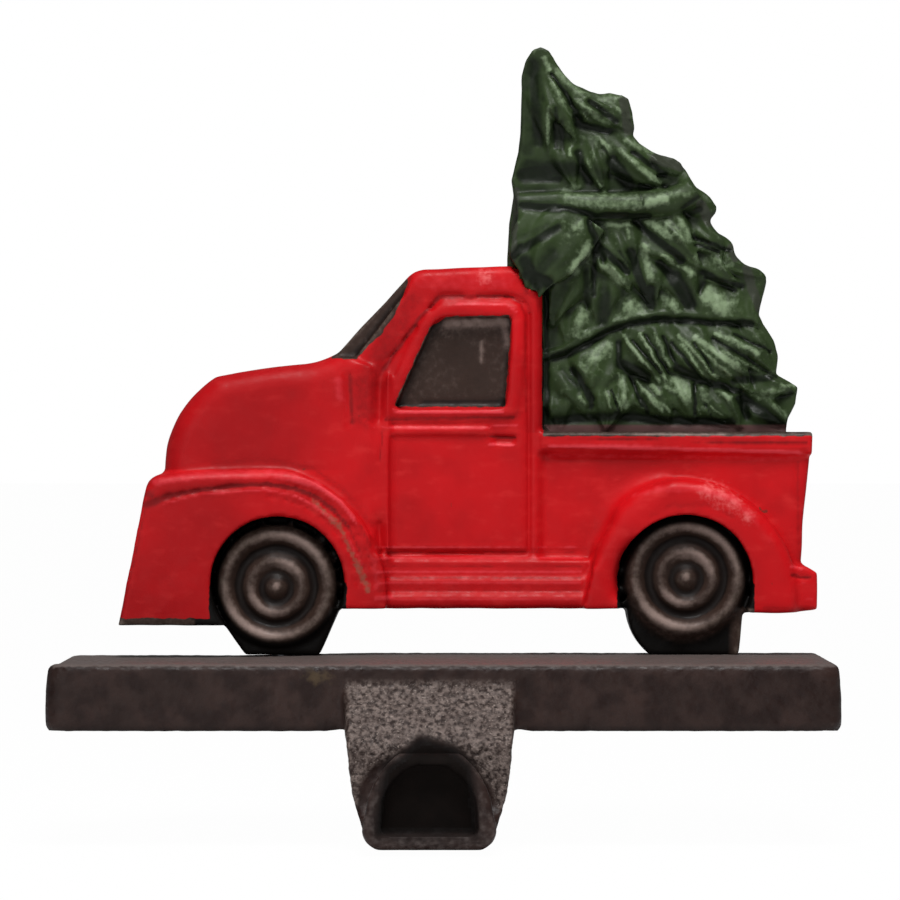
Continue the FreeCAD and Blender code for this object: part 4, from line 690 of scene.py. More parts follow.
def truck_brown(n, props, relief, grain, frayed):
    """Brown glass, tyres and lugs: painted highlights on the crests and pale strokes, painted black shade in
    pits, along dark strokes and in the gaps round the tyres and behind the cab.
    """
    brown = n.mix(n.noise(6.0, 4.0), props.brown, [channel * 1.6 for channel in props.brown])
    # Painted highlight on the crests.
    crest = n.ramp(n.add(relief, n.times(grain, 0.6)), 0.45, 1.2, 0.8)
    brown = n.mix(crest, brown, linear(124, 110, 100))
    # Painted black shade in the pits.
    brown = n.mix(n.depth(relief, 0.08, 0.5, 0.85), brown, linear(16, 11, 9))
    # Painted highlight along the pale strokes and the wheels' rings.
    flecked = n.add(n.attribute("stroke"), n.jitter(1.3, 4.0, 0.8))
    brown = n.mix(n.ramp(flecked, -0.1, 1.2, 0.9), brown, linear(150, 130, 122))
    # Painted shade along the dark strokes and rings.
    brown = n.mix(n.depth(frayed, 0.1, 0.8, 0.8), brown, linear(17, 12, 11))
    # Painted black shade in the gaps round the tyres, behind the cab and under the bough.
    return n.mix(n.attribute("soot"), brown, linear(7, 5, 4))


def truck_paint(props):
    """The truck's red and its brown parts, which meet along a hand-painted edge."""
    material, shader, n = new_material("truck_paint", 0.13)
    relief, grain = n.attribute("relief"), n.noise(1.1, 3.0)
    # The strokes carry painted highlight where positive and painted shade where negative.
    frayed = n.add(n.attribute("stroke"), n.jitter(1.3, 4.0, 0.5))
    coats = [coat(n, props, relief, grain, frayed) for coat in (truck_red, truck_brown)]
    brown = n.ramp(n.add(n.attribute("brown"), n.jitter(2.2, 2.0, 0.9)), -0.12, 0.12)
    n.link(n.mix(brown, *coats), shader.inputs["Base Color"])
    n.brushed_skin(shader, 1.6, 0.56, 0.36)
    return material


def tree_paint(props):
    """Dark green, dry-brushed paler along the needles' crests and pale strokes, partly as painted highlight;
    painted black shade in the gaps, the grooves and the broad hollows.
    """
    material, shader, n = new_material("tree_paint", 0.14)
    relief, stroke = n.attribute("relief"), n.attribute("stroke")
    green = n.cloudy(9.0, 3.0, 0.3, 0.7, props.green, 0.62)
    bristle = n.jitter(1.1, 6.0, 1.5)
    # Dry brush with painted highlight, along the crests and the pale strokes.
    brush_and_highlight = n.add(n.add(stroke, n.times(relief, 0.2)), bristle)
    green = n.mix(n.ramp(brush_and_highlight, 0.05, 1.2, 0.85), green, props.dry_brush_and_highlight)
    green = n.mix(n.ramp(n.attribute("charcoal"), 0.3, 0.8, 0.9), green, linear(52, 55, 46))
    # Painted shade in the grooves.
    green = n.mix(n.depth(relief, 0.2, 1.1, 0.8), green, linear(12, 18, 10))
    # Painted shade in the broad hollows between the boughs.
    green = n.mix(n.depth(n.attribute("hollow"), 0.1, 0.9, 0.8), green, linear(12, 18, 10))
    # Painted shade along the dark strokes.
    dark = n.math("SUBTRACT", n.times(bristle, 0.2), stroke)
    green = n.mix(n.ramp(dark, 0.1, 0.85, 0.94), green, linear(11, 17, 8))
    green = n.mix(n.ramp(n.attribute("brown"), -0.3, 0.3), green, linear(84, 58, 56))
    n.link(green, shader.inputs["Base Color"])
    n.brushed_skin(shader, 1.5, 0.55, 0.34)
    return material


def waxed_iron(props):
    """Dark brown rough-cast iron under wax, rougher and greyer on the hook, with painted highlights on
    crests, upward faces, the hook's rim and the top front edge, and painted black shade in the hook's well
    and along the bottom edge.
    """
    material, shader, n = new_material("waxed_iron", 0.15)
    rough, well = n.attribute("rough"), n.attribute("well")
    iron = n.cloudy(12.0, 4.0, 0.35, 0.68, props.iron, 1.5)
    iron = n.mix(n.ramp(n.noise(5.0, 5.0), 0.38, 0.66, 0.75), iron, linear(27, 15, 13))
    # Painted highlight on the crests.
    crest = n.add(n.attribute("relief"), n.jitter(1.6, 5.0, 2.2))
    iron = n.mix(n.ramp(crest, 0.5, 1.7, 0.8), iron, linear(116, 98, 90))
    # Painted highlight on upward faces, the hook's rim and the top front edge.
    highlight = n.add(n.attribute("dusty"), n.jitter(1.3, 5.0, 1.1))
    iron = n.mix(n.ramp(highlight, 0.22, 1.0, 0.88), iron, linear(96, 86, 83))
    speckle = n.mix(n.ramp(n.noise(0.9, 6.0), 0.34, 0.68), linear(40, 30, 27), linear(128, 114, 108))
    speckle = n.mix(n.ramp(n.noise(3.5, 3.0), 0.35, 0.7, 0.45), speckle, linear(62, 50, 46))
    speckle = n.mix(n.ramp(n.noise(0.5, 4.0), 0.6, 0.72, 0.7), speckle, linear(158, 144, 136))
    iron = n.mix(n.ramp(rough, 0.0, 1.0, 0.88), iron, speckle)
    # Painted black shade in the hook's well and along the shadowed bottom edge.
    iron = n.mix(well, iron, linear(16, 12, 11))
    bare = n.add(n.attribute("worn"), n.jitter(1.8, 5.0, 1.8))
    iron = n.mix(n.ramp(bare, 0.3, 1.0, 0.65), iron, linear(80, 66, 48))
    n.link(iron, shader.inputs["Base Color"])
    gloss = n.ramp(n.noise(1.5, 4.0), 0.3, 0.7, 0.56, 0.32)
    n.link(n.add(gloss, n.times(well, 0.55)), shader.inputs["Roughness"])
    pebbles = n.texture("ShaderNodeTexVoronoi", 1.5, feature="SMOOTH_F1")
    normal = n.bump(pebbles.outputs["Distance"], 0.5, 0.3)
    normal = n.bump(n.noise(0.6, 3.0), 0.5, 0.14, normal)
    n.link(n.bump(n.times(n.noise(0.9, 5.0), rough), 0.9, 0.7, normal), shader.inputs["Normal"])
    return material


def blackened_recess():
    """The hook's dished face, painted black and dull as the shade deep within it."""
    material, shader, n = new_material("blackened_recess", 0.06)
    # Near-black stands in for the shade in the well.
    n.link(n.mix(n.noise(3.0, 4.0), linear(8, 6, 5), linear(20, 14, 12)), shader.inputs["Base Color"])
    shader.inputs["Roughness"].default_value = 0.8
    n.link(n.bump(n.noise(1.2, 3.0), 0.3, 0.1), shader.inputs["Normal"])
    return material


def zinc():
    """Plain plated screw steel with turning marks."""
    material, shader, n = new_material("screw_zinc", 0.5)
    grey = n.mix(n.noise(1.2, 4.0), linear(150, 150, 152), linear(104, 104, 108))
    n.link(grey, shader.inputs["Base Color"])
    shader.inputs["Metallic"].default_value = 1.0
    n.link(n.ramp(n.noise(0.6, 3.0), 0.3, 0.7, 0.45, 0.25), shader.inputs["Roughness"])
    n.link(n.bump(n.noise(0.3, 2.0, (1.0, 1.0, 4.0)), 0.2, 0.03), shader.inputs["Normal"])
    return material


def pale_floor():
    """A white floor that the camera sees nearly evenly lit, and that takes a faint shadow."""
    material, shader, n = new_material("pale_floor", 0.22)
    shader.inputs["Base Color"].default_value = (0.9, 0.9, 0.9, 1.0)
    shader.inputs["Roughness"].default_value = 0.9
    seen = n.times(n.node("ShaderNodeLightPath").outputs["Is Camera Ray"], FLOOR_GLOW)
    blend = n.node("ShaderNodeMixShader")
    n.link(seen, blend.inputs["Fac"])
    n.link(shader.outputs["BSDF"], blend.inputs[1])
    n.link(n.node("ShaderNodeEmission").outputs["Emission"], blend.inputs[2])
    n.link(blend.outputs["Shader"], n.tree.nodes["Material Output"].inputs["Surface"])
    return material


# Forms


def leaf(tree, root_x, root_z, tip_x, tip_z, width, lift, bow, needles, forward):
    """Add one bough: a pointed, pleated blade that rises from its root to a crest and droops to its tip."""
    across, along = 6 * max(needles, 2) + 1, 20
    grid = bmesh.ops.create_grid(tree, x_segments=along, y_segments=across, size=0.5)["verts"]
    root = Vector((root_x, root_z))
    run = Vector((tip_x, tip_z)) - root
    side = Vector((-run.y, run.x)).normalized()
    for vert in grid:
        u, s = vert.co.x + 0.5, vert.co.y * 2
        ripple = math.cos(math.pi * needles * s + math.pi * (needles + 1))
        spread = 0.85 + 0.15 * math.sin(min(u / LEAF_SHOULDER, 1.0) * math.pi / 2)
        if u > LEAF_SHOULDER:
            spread = 1.0 - ((u - LEAF_SHOULDER) / (1.0 - LEAF_SHOULDER)) ** 1.9 * LEAF_TAPER
        reach = u * (1.0 - 0.16 * abs(s) ** 2 + (0.05 * ripple if u > 0.9 else 0.0))
        offset = width * LEAF_FULLNESS * spread * s + bow * math.sin(math.pi * u)
        place = root + run * reach + side * offset
        past = (u - LEAF_CREST) / (1.0 - LEAF_CREST)
        rise = (u / LEAF_CREST) ** 0.9 if past < 0.0 else 1.0 - LEAF_DROOP * past ** 2
        crown = 1.0 - 0.5 * s * s
        groove = NEEDLE_DEPTH * ripple * min(1.0, 2.5 * u) if needles > 1 else 0.0
        depth = TREE_FRONT_Y + LEAF_SETBACK - forward - lift * rise * crown - groove
        vert.co = Vector((place.x, depth, place.y)) * MM
    faces = list({face for vert in grid for face in vert.link_faces})
    made = bmesh.ops.extrude_face_region(tree, geom=faces)["geom"]
    back = [item for item in made if isinstance(item, bmesh.types.BMVert)]
    bmesh.ops.translate(tree, verts=back, vec=(0, (LEAF_THICKNESS + forward) * MM, 0))


def strap(tree, path, width, forward, bulge):
    """Add a band along a path across the tree's face, rounded across its width."""
    rows = []
    for index, (x, z) in enumerate(path):
        before = Vector(path[max(index - 1, 0)])
        after = Vector(path[min(index + 1, len(path) - 1)])
        run = (after - before).normalized()
        side = Vector((-run.y, run.x))
        row = []
        for step in range(STRAP_SLICES):
            angle = math.pi * step / (STRAP_SLICES - 1)
            offset = side * (math.cos(angle) * width / 2)
            depth = TREE_FRONT_Y - forward - bulge * math.sin(angle)
            row.append(tree.verts.new(Vector((x + offset.x, depth, z + offset.y)) * MM))
        back = (TREE_FRONT_Y + STRAP_THICKNESS) * MM
        row += [tree.verts.new((vert.co.x, back, vert.co.z)) for vert in (row[-1], row[0])]
        rows.append(row)
    for row, following in zip(rows, rows[1:]):
        for corner in range(len(row)):
            after = (corner + 1) % len(row)
            tree.faces.new((row[corner], row[after], following[after], following[corner]))
    tree.faces.new(rows[0])
    tree.faces.new(reversed(rows[-1]))


def tree_core():
    """The tree's body: its outline drawn forward from the back, with soft sloping sides."""
    core = bmesh.new()
    back = BACK_Y - CORE_INSET
    face = core.faces.new([core.verts.new(Vector((x, back, z)) * MM) for x, z in TREE_OUTLINE])
    made = bmesh.ops.extrude_face_region(core, geom=[face])["geom"]
    front = [item for item in made if isinstance(item, bmesh.types.BMVert)]
    bmesh.ops.translate(core, verts=front, vec=(0, (TREE_FRONT_Y - back) * MM, 0))
    lid = [item for item in made if isinstance(item, bmesh.types.BMFace)]
    bmesh.ops.inset_region(core, faces=lid, thickness=CORE_SLOPE * MM, depth=0.0)
    ring = [vert for face in lid for vert in face.verts]
    for vert in front:
        if vert not in ring:
            vert.co.y += CORE_SLOPE_DEPTH * MM
    bmesh.ops.recalc_face_normals(core, faces=core.faces)
    return core


def shape_tree(mesh):
    """Nudge the tree's outline and smooth two of its tips."""
    places = as_array(mesh, "co", 3)
    for x, z, radius, across in OUTLINE_NUDGES:
        near = np.hypot(places[:, 0] / MM - x, places[:, 2] / MM - z) / radius
        places[:, 0] += across * MM * np.exp(-near ** 2)
    move(mesh, places)
    tips = patches(places[:, (0, 2)] / MM, [(x, z, TIP_RADIUS) for x, z in SMOOTHED_TIPS]) > 0.0
    soften(mesh, 0.6 * tips, 30)


def brush_tree(mesh):
    """Draw the strokes into the tree's face, as relief and as painted highlight and shade, and hollow its
    back.
    """
    places = as_array(mesh, "co", 3)
    facing = fade(as_array(mesh, "normal", 3)[:, 1], 0.0, -0.5)
    flat = wandering(places, TREE_WANDER)
    pale, dark = draw_strokes(flat, TREE_STROKES)
    charcoal = draw_strokes(flat, GREY_ENDS)[0]
    places[:, 1] += (TREE_CUT * dark - TREE_RISE * pale * (1.0 - dark)) * facing * MM
    hollowed = fade(inside_polygon(places[:, (0, 2)] / MM, TREE_RECESS), 0.0, 0.8)
    places[:, 1] -= RECESS_DEPTH * MM * hollowed * (places[:, 1] > (BACK_Y - 1.0) * MM)
    move(mesh, places)
    front = faces_front(mesh)
    store(mesh, "stroke", (pale * (1.0 - dark) - dark) * front)
    store(mesh, "charcoal", charcoal * front)


def trim_truck(mesh):
    """Cut off what stands above the cab's roof and the bed's rail, and close the cuts."""
    shape = bmesh.new()
    shape.from_mesh(mesh)
    up, along = (0, 0, 1), (1, 0, 0)
    for place, normal in (((0, 0, RAIL_Z), up), ((0, 0, ROOF_Z), up), ((CAB_BACK_X, 0, 0), along)):
        everything = shape.verts[:] + shape.edges[:] + shape.faces[:]
        bmesh.ops.bisect_plane(
            shape, geom=everything, dist=0.001 * MM, plane_co=Vector(place) * MM, plane_no=normal,
        )
    gone = []
    for face in shape.faces:
        middle = face.calc_center_median() / MM
        if (middle.x > CAB_BACK_X and middle.z > RAIL_Z) or middle.z > ROOF_Z:
            gone.append(face)
    bmesh.ops.delete(shape, geom=gone, context="FACES")
    bmesh.ops.holes_fill(shape, edges=[edge for edge in shape.edges if edge.is_boundary], sides=0)
    shape.to_mesh(mesh)
    shape.free()


def settle_truck(mesh):
    """Move the bead, the running board's end and the cab's corner to where they're seen; soften edges."""
    places = as_array(mesh, "co", 3) / MM
    x, y, z = places.T
    front = y < BACK_Y - RELIEF_DEPTH
    bed = x > CAB_BACK_X + 1.0
    flat = places[:, (0, 2)]
    places[:, 2] -= BEAD_DROP * np.exp(-((z - BEAD_Z) / BEAD_REACH) ** 2) * bed * front
    seam = BOARD_FOOT[0] + BOARD_LEAN * (z - BOARD_FOOT[1])
    low = fade(z, BOARD_TOP_Z, BOARD_TOP_Z - 3.0)
    places[:, 0] -= BOARD_SHIFT * fade(np.abs(x - seam), BOARD_REACH, 0.0) * low * front
    places[:, 1] += CORNER_DEPTH * fade(inside_polygon(flat, CORNER_DIP), 0.0, 0.6) * front
    move(mesh, places * MM)
    blend = fade(inside_polygon(flat, FENDER_BLEND), 0.0, 2.0)
    bead = (np.abs(z - BEAD_SOFT_Z) < 1.0) * bed * (x < BEAD_END_X)
    gap = (np.abs(x - GAP_X) < GAP_HALF_WIDTH) * (z > GAP_LOW_Z) * (z < GAP_HIGH_Z)
    soften(mesh, TRUCK_EASE * np.maximum.reduce((blend, 0.6 * bead, gap)) * front, TRUCK_EASE_ROUNDS)


def draw_rings(pale, dark, away, shift, inside):
    """Draw a wheel's rings at places so far away from its axle, as painted highlight and shade, with the
    highlight strongest along one slant.
    """
    slant = np.abs(np.cos(np.arctan2(away[:, 1], away[:, 0]) - LIT_ANGLE)) ** 3
    rubbed_and_lit = LIT_LEAST + (1.0 - LIT_LEAST) * slant
    for radius, half, value, drop in WHEEL_RINGS:
        near = (np.hypot(away[:, 0] - shift[0], away[:, 1] - shift[1] + drop) - radius) / half
        share = inside / (1.0 + near ** 4)
        if value > 0 and radius > HUB_RADIUS:
            share *= rubbed_and_lit
        stamp(pale, dark, share, value)


def brush_truck(mesh):
    """Draw the cast lines and the wheels' rings into the truck's face, as relief and as painted highlight
    and shade, and set the wheels in place.
    """
    places = as_array(mesh, "co", 3)
    facing = fade(as_array(mesh, "normal", 3)[:, 1], 0.0, -0.625)
    flat = wandering(places, TRUCK_WANDER)
    pale, dark = draw_strokes(flat, TRUCK_STROKES)
    for wheel, shift in zip(WHEELS, WHEEL_SHIFTS):
        radius = np.linalg.norm(flat - wheel, axis=1)
        inside = radius < ARCH_RADIUS
        moved = fade(radius, ARCH_RADIUS, ARCH_RADIUS - 1.5) * (places[:, 1] < (BACK_Y - WHEEL_DEPTH) * MM)
        places[:, (0, 2)] += np.outer(moved, shift) * MM
        flat += np.outer(moved, shift)
        pale[inside] = dark[inside] = 0.0
        draw_rings(pale, dark, flat - wheel, shift, inside)
    places[:, 1] += (TRUCK_CUT * dark - TRUCK_RISE * pale) * facing * MM
    move(mesh, places)
    store(mesh, "stroke", (pale * (1.0 - dark) - dark) * faces_front(mesh))


def brown_parts(x, y, z, flat):
    """How many millimetres inside the glass, the tyres or the lugs each place on the truck's front lies."""
    parts = [
        inside_polygon(flat, DOOR_GLASS), np.minimum(inside_polygon(flat, WINDSHIELD), WINDSHIELD_TOP_Y - y),
        np.minimum(NOSE_FOOT_Z - z, NOSE_FOOT_X - x), SILL_Z - 3.8 - z,
    ]
    for wheel_x, wheel_z in WHEELS:
        parts.append(np.minimum(ARCH_RADIUS - np.hypot(x - wheel_x, z - wheel_z), y - FENDER_FACE_Y - 1.0))
        parts.append(np.minimum(ARCH_RADIUS - np.abs(x - wheel_x), wheel_z - z))
    return np.minimum(np.maximum.reduce(parts), BACK_Y - 2.0 - y)


def mark_truck(mesh):
    """Store where the truck is brown, where it gets painted black shade in its gaps and painted shade on its
    flanks and posts, where it is rubbed to the metal and where it is scuffed.
    """
    places = as_array(mesh, "co", 3) / MM
    x, y, z = places.T
    flat = places[:, (0, 2)]
    front = faces_front(mesh)
    walled = (as_array(mesh, "normal", 3)[:, 0] > 0.6) * (x > CAB_BACK_X - 1.2) * (y > CAB_FACE_Y + 2.5)
    wall = np.minimum(z - RAIL_Z + 0.9, x - CAB_BACK_X - 0.1 + 3.0 * walled)
    store(mesh, "brown", np.maximum(np.where(front, brown_parts(x, y, z, flat), -1.0), wall))

    # Painted black shade in the gaps round the tyres, behind the cab and under the bough over its corner.
    ring = np.minimum(*(np.hypot(x - wheel_x, z - wheel_z) for wheel_x, wheel_z in WHEELS))
    post = fade(x, REAR_POST_X, REAR_POST_X + 0.6) * (z < SILL_Z)
    below = fade(z, SILL_Z - 3.0, SILL_Z - 4.5)
    near = np.maximum(below, ring < ARCH_RADIUS + 5.0)
    arch = fade(ring, TYRE_RADIUS, TYRE_RADIUS + 1.0) * near * (1.0 - post)
    behind = fade(x + 0.4 * walled, CAB_BACK_X - 0.1, CAB_BACK_X + 0.3) * fade(z, RAIL_Z + 0.3, RAIL_Z + 0.9)
    store(mesh, "soot", np.maximum.reduce((arch, behind, inside_polygon(flat, CORNER_DIP) > 0.1)))

    # Painted shade on the hood's and the fender's flanks and on the posts.
    hood = HOOD_SHADE * fade(x, *HOOD_SHADE_X) * (z > HOOD_LOW_Z)
    flank = FLANK_SHADE * fade(x, *FLANK_SHADE_X) * (z < FLANK_HIGH_Z)
    pillar = PILLAR_SHADE * fade(np.abs(x - PILLAR_X), PILLAR_REACH, 0.0) * fade(z, *PILLAR_Z)
    back_post = POST_SHADE * fade(x, *POST_X) * fade(z, *POST_Z) * (x < CAB_BACK_X + 0.6) * (z > RAIL_Z)
    store(mesh, "shade", np.maximum.reduce((hood, flank, pillar * (z < ROOF_Z - 3.0), back_post)))
    store(mesh, "worn", draw_strokes(flat, WORN_LINES)[0] * front)
    store(mesh, "scuff", patches(flat, SCUFFED_PLACES) - 2.0 * ~front)


def mark_base(mesh, places):
    """Store where the base is rough, where it gets painted highlights and where it is worn; give its
    roughness and how far in the well it is.
    """
    x, y, z = places.T
    rim = inside_polygon(places[:, (0, 2)], HOOK_RIM)
    well = inside_polygon(places[:, (0, 2)], HOOK_WELL)
    across = fade(np.abs(x - HOOK_X), HOOK_HALF_WIDTH, HOOK_HALF_WIDTH - 1.5)
    below = fade(z, HOOK_TOP_Z, HOOK_TOP_Z - 2.5)
    rough = np.minimum.reduce((across, below, fade(rim, 0.0, -1.5))) * (y < HOOK_FACE_Y)
    store(mesh, "rough", rough)
    # Painted highlights on upward faces, the hook's smooth rim and the top front edge.
    top = fade(as_array(mesh, "normal", 3)[:, 2], 0.5, 0.9) * (z > BASE_BROW_Z)
    smooth_rim = 0.42 * fade(rim, 0.0, 1.0) * (well < -0.8)
    edge = 0.5 * fade(np.abs(z - EDGE_Z), 1.1, 0.0) * (y < 3.0)
    store(mesh, "dusty", np.maximum.reduce((top, smooth_rim, edge)))
    off = (places[:, (0, 2)] - RUBBED_SPOT) / RUBBED_SIZE
    store(mesh, "worn", 1.0 - np.linalg.norm(off, axis=1))
    return rough, well


def settle_base(mesh, places):
    """Give the base this one casting's swellings and sags; say where its bottom edge is in shadow."""
    x, y, z = places.T
    beside = np.abs(x - HOOK_X)
    away = (y < 4.0) * fade(beside, 17.0, 21.0)
    end = fade(np.abs(x), *END_X) * np.sign(x)
    foot = fade(z, 1.3, 0.0) ** 2
    bulge = END_SWELL * np.sin(np.pi * fade(z, 0.0, 15.0))
    spread = HOOK_SPREAD * fade(z, *HOOK_SPREAD_Z) - HOOK_DRAW * fade(z, *HOOK_DRAW_Z) ** 2
    shaped = places.copy()
    shaped[:, 0] += end * (bulge - END_DRAW * foot) - LEFT_END_GROWTH * fade(x, *LEFT_END_X)
    shaped[:, 0] += (x - HOOK_X) * spread * (y < 0.5) * (z < 0.0)
    shaped[:, 1] += 0.6 * foot * (y < 2.0) * (beside > 18.0)
    shaped[:, 2] -= FRONT_SAG * fade(z, 3.0, 0.0) * away
    shaped[:, 2] -= CORNER_SAG * fade(x, -76.0, -83.0) ** 2 * (z > 8.0)
    shaped[:, 2] -= TOP_SAG * fade(x, -15.0, -45.0) * (z > 12.0) * fade(y, 4.0, 10.0)
    move(mesh, shaped * MM)
    return fade(z, 0.7, -0.4) * away


def roughen_base(mesh, y, z, rough):
    """Roughen the base all over, most on its top front edge and on the hook, and least at the hook's tip."""
    tip = np.maximum(fade(y, HOOK_TIP_Y, HOOK_TIP_Y + 2.0), 0.15)
    roughen(mesh, 0.06 * tip, 3.1, 11.0)
    roughen(mesh, 0.3 * (z > BASE_TOP_Z) * (y < 2.5), 1.7, 23.0)
    roughen(mesh, (0.06 + 0.22 * rough) * tip, 1.3, 5.0)


# Properties, operators and panel


class PaintProperties(bpy.types.PropertyGroup):
    red: bpy.props.FloatVectorProperty(
        name="Red", description="Truck enamel", subtype="COLOR", size=3, default=linear(192, 14, 21),
    )
    brown: bpy.props.FloatVectorProperty(
        name="Brown", description="Glass, tyres and lugs", subtype="COLOR", size=3,
        default=linear(44, 32, 27),
    )
    green: bpy.props.FloatVectorProperty(
        name="Green", description="Boughs", subtype="COLOR", size=3, default=linear(48, 62, 35),
    )
    # The pale of the boughs' crests and strokes: dry brush and painted highlight.
    dry_brush_and_highlight: bpy.props.FloatVectorProperty(
        name="Dry brush", description="Crests of the boughs", subtype="COLOR", size=3,
        default=linear(128, 146, 114),
    )
    iron: bpy.props.FloatVectorProperty(
        name="Iron", description="Waxed base", subtype="COLOR", size=3, default=linear(40, 28, 25),
    )
    wear: bpy.props.FloatProperty(
        name="Wear", description="How proud an edge is before its paint is rubbed off", default=1.0, min=0.2,
        max=3.0,
    )


class SkinProperties(bpy.types.PropertyGroup):
    truck_voxel: bpy.props.FloatProperty(
        name="Truck grain", description="Size of the truck's smallest form, in millimetres", default=0.57,
    )
    tree_voxel: bpy.props.FloatProperty(
        name="Tree grain", description="Size of the tree's smallest form, in millimetres", default=0.42,
    )
    base_voxel: bpy.props.FloatProperty(
        name="Base grain", description="Size of the base's smallest form, in millimetres", default=0.65,
    )


class StageProperties(bpy.types.PropertyGroup):
    key_power: bpy.props.FloatProperty(
        name="Key light", description="Lamp above and in front", subtype="POWER", default=9.0,
    )
    fill_power: bpy.props.FloatProperty(
        name="Fill light", description="Broad lamp in front", subtype="POWER", default=2.2,
    )
    camera_distance: bpy.props.FloatProperty(
        name="Camera distance", description="From the mantel's edge", unit="LENGTH", default=1.1,
    )


class HOLDER_OT_base(bpy.types.Operator):
    """Cast the base plate with its hook"""

    bl_idname = "holder.base"
    bl_label = "Base and hook"

    def execute(self, context):
        props = context.scene.holder_skin
        base = finish_bmesh("base_casting", node_bmesh("base_with_hook"))
        mesh = cast_skin(base, props.base_voxel, 3)
        places = as_array(mesh, "co", 3) / MM
        y, z = places[:, 1], places[:, 2]
        rough, well = mark_base(mesh, places)
        shadow = settle_base(mesh, places)
        soften(mesh, 0.5 * (z > BASE_BROW_Z) * (y < 3.0) * (y > -2.0), 10)
        # The well, and the bottom edge in shadow, are painted black as shade.
        store(mesh, "well", np.maximum(fade(well, -1.8, 0.0) * (y < HOOK_FACE_Y), shadow))
        roughen_base(mesh, y, z, rough)
        store_relief(mesh, "relief", props.base_voxel, 4)
        mesh.materials.append(waxed_iron(context.scene.holder_paint))
        mesh.materials.append(blackened_recess())
        # The well's faces take the dull black of the painted shade.
        dish = (well > 0.3) * (y < HOOK_FACE_Y)
        for polygon in mesh.polygons:
            polygon.material_index = int(all(dish[index] for index in polygon.vertices))
        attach(base, "root")
        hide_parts("base_with_hook")
        return {"FINISHED"}


class HOLDER_OT_truck(bpy.types.Operator):
    """Cast and paint the truck"""

    bl_idname = "holder.truck"
    bl_label = "Truck"

    def execute(self, context):
        props = context.scene.holder_skin
        truck = finish_bmesh("truck_casting", node_bmesh("truck_and_tree"))
        mesh = cast_skin(truck, props.truck_voxel, 3)
        trim_truck(mesh)
        settle_truck(mesh)
        roughen(mesh, 0.12, 5.0, 3.0)
        brush_truck(mesh)
        store_relief(mesh, "relief", props.truck_voxel, 5)
        mark_truck(mesh)
        mesh.materials.append(truck_paint(context.scene.holder_paint))
        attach(truck, "root")
        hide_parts("truck_and_tree")
        return {"FINISHED"}


class HOLDER_OT_tree(bpy.types.Operator):
    """Cast and paint the roped fir tree"""

    bl_idname = "holder.tree"
    bl_label = "Tree"

    def execute(self, context):
        props = context.scene.holder_skin
        shape = tree_core()
        for blade in LEAVES:
            leaf(shape, *blade)
        strap(shape, *ROPE)
        strap(shape, *CORD)
        tree = finish_bmesh("tree_casting", shape)
        mesh = cast_skin(tree, props.tree_voxel, 2)
        roughen(mesh, 0.14, 4.0, 7.0)
        shape_tree(mesh)
        brush_tree(mesh)
        store_relief(mesh, "relief", props.tree_voxel, 6)
        # How hollow each place lies, for the painted shade in broad recesses.
        store_relief(mesh, "hollow", 1.0, 45)
        store(mesh, "brown", TREE_FOOT_Z - as_array(mesh, "co", 3)[:, 2] / MM)
        mesh.materials.append(tree_paint(context.scene.holder_paint))
        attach(tree, "root")
        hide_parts("truck_and_tree")
        return {"FINISHED"}


class HOLDER_OT_screws(bpy.types.Operator):
    """Finish the two fixing screws"""

    bl_idname = "holder.screws"
    bl_label = "Screws"

    def execute(self, context):
        steel = zinc()
        node = bpy.data.objects["fixing_screws"]
        if not node.material_slots:
            node.data.materials.append(steel)
        for slot in node.material_slots:
            slot.material = steel
        return {"FINISHED"}


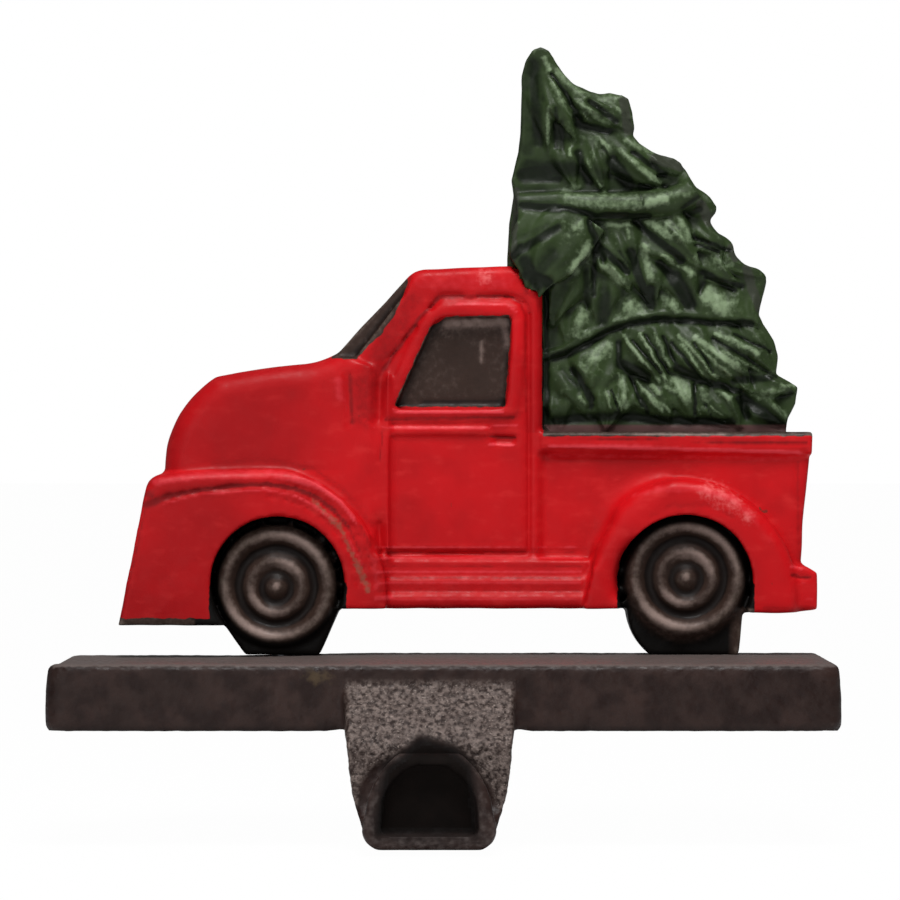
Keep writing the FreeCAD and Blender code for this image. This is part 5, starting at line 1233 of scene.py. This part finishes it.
class HOLDER_OT_stage(bpy.types.Operator):
    """Set the floor, the lamps and the camera"""

    bl_idname = "holder.stage"
    bl_label = "Stage"

    def execute(self, context):
        scene, props = context.scene, context.scene.holder_stage
        floor_shape = bmesh.new()
        bmesh.ops.create_grid(floor_shape, x_segments=1, y_segments=1, size=FLOOR_SIZE)
        bmesh.ops.translate(floor_shape, verts=floor_shape.verts, vec=(0, 0, BASE_LOW[2] - FLOOR_GAP))
        floor = finish_bmesh("floor", floor_shape)
        floor.data.materials.append(pale_floor())

        scene.world = bpy.data.worlds.new("studio")
        scene.world.use_nodes = True
        n = Nodes(scene.world.node_tree)
        sky = n.tree.nodes["Background"]
        sky.inputs["Color"].default_value = (1.0, 1.0, 1.0, 1.0)
        seen = n.node("ShaderNodeMapRange")
        n.link(n.node("ShaderNodeLightPath").outputs["Is Camera Ray"], seen.inputs["Value"])
        seen.inputs["To Min"].default_value = SKY_LIGHT
        seen.inputs["To Max"].default_value = 1.0
        n.link(seen.outputs["Result"], sky.inputs["Strength"])

        lamps = (
            ("key", (0.05, -0.36, 0.85), 0.4, props.key_power),
            ("fill", (-0.35, -0.9, 0.25), 0.7, props.fill_power),
        )
        for name, place, width, power in lamps:
            data = bpy.data.lights.new(name, "AREA")
            data.size = width
            data.energy = power
            lamp = bpy.data.objects.new(name, data)
            lamp.location = place
            lamp.rotation_euler = (Vector(LAMPS_AIM) - Vector(place)).to_track_quat("-Z", "Y").to_euler()
            scene.collection.objects.link(lamp)

        data = bpy.data.cameras.new("camera")
        data.sensor_width = 36.0
        data.lens = CAMERA_LENS
        data.clip_end = 20.0
        camera = bpy.data.objects.new("camera", data)
        camera.location = (CAMERA_X, -props.camera_distance, CAMERA_Z)
        camera.rotation_euler = (math.pi / 2, 0.0, 0.0)
        scene.collection.objects.link(camera)
        scene.camera = camera
        scene.view_settings.view_transform = "Standard"
        return {"FINISHED"}


class HOLDER_PT_panel(bpy.types.Panel):
    """Lists the holder's pieces in the sidebar"""

    bl_idname = "HOLDER_PT_panel"
    bl_label = "Stocking Holder"
    bl_space_type = "VIEW_3D"
    bl_region_type = "UI"
    bl_category = "Stocking Holder"

    def draw(self, context):
        for operator in OPERATORS:
            self.layout.operator(operator.bl_idname)


OPERATORS = (HOLDER_OT_base, HOLDER_OT_truck, HOLDER_OT_tree, HOLDER_OT_screws, HOLDER_OT_stage)
CLASSES = (PaintProperties, SkinProperties, StageProperties, *OPERATORS, HOLDER_PT_panel)
GROUPS = {"holder_paint": PaintProperties, "holder_skin": SkinProperties, "holder_stage": StageProperties}


def register():
    for cls in CLASSES:
        bpy.utils.register_class(cls)
    for name, group in GROUPS.items():
        setattr(bpy.types.Scene, name, bpy.props.PointerProperty(type=group))


def unregister():
    for name in GROUPS:
        delattr(bpy.types.Scene, name)
    for cls in reversed(CLASSES):
        bpy.utils.unregister_class(cls)


def main():
    register()
    bpy.ops.holder.base()
    bpy.ops.holder.truck()
    bpy.ops.holder.tree()
    bpy.ops.holder.screws()
    bpy.ops.holder.stage()


if __name__ == "__main__":
    main()
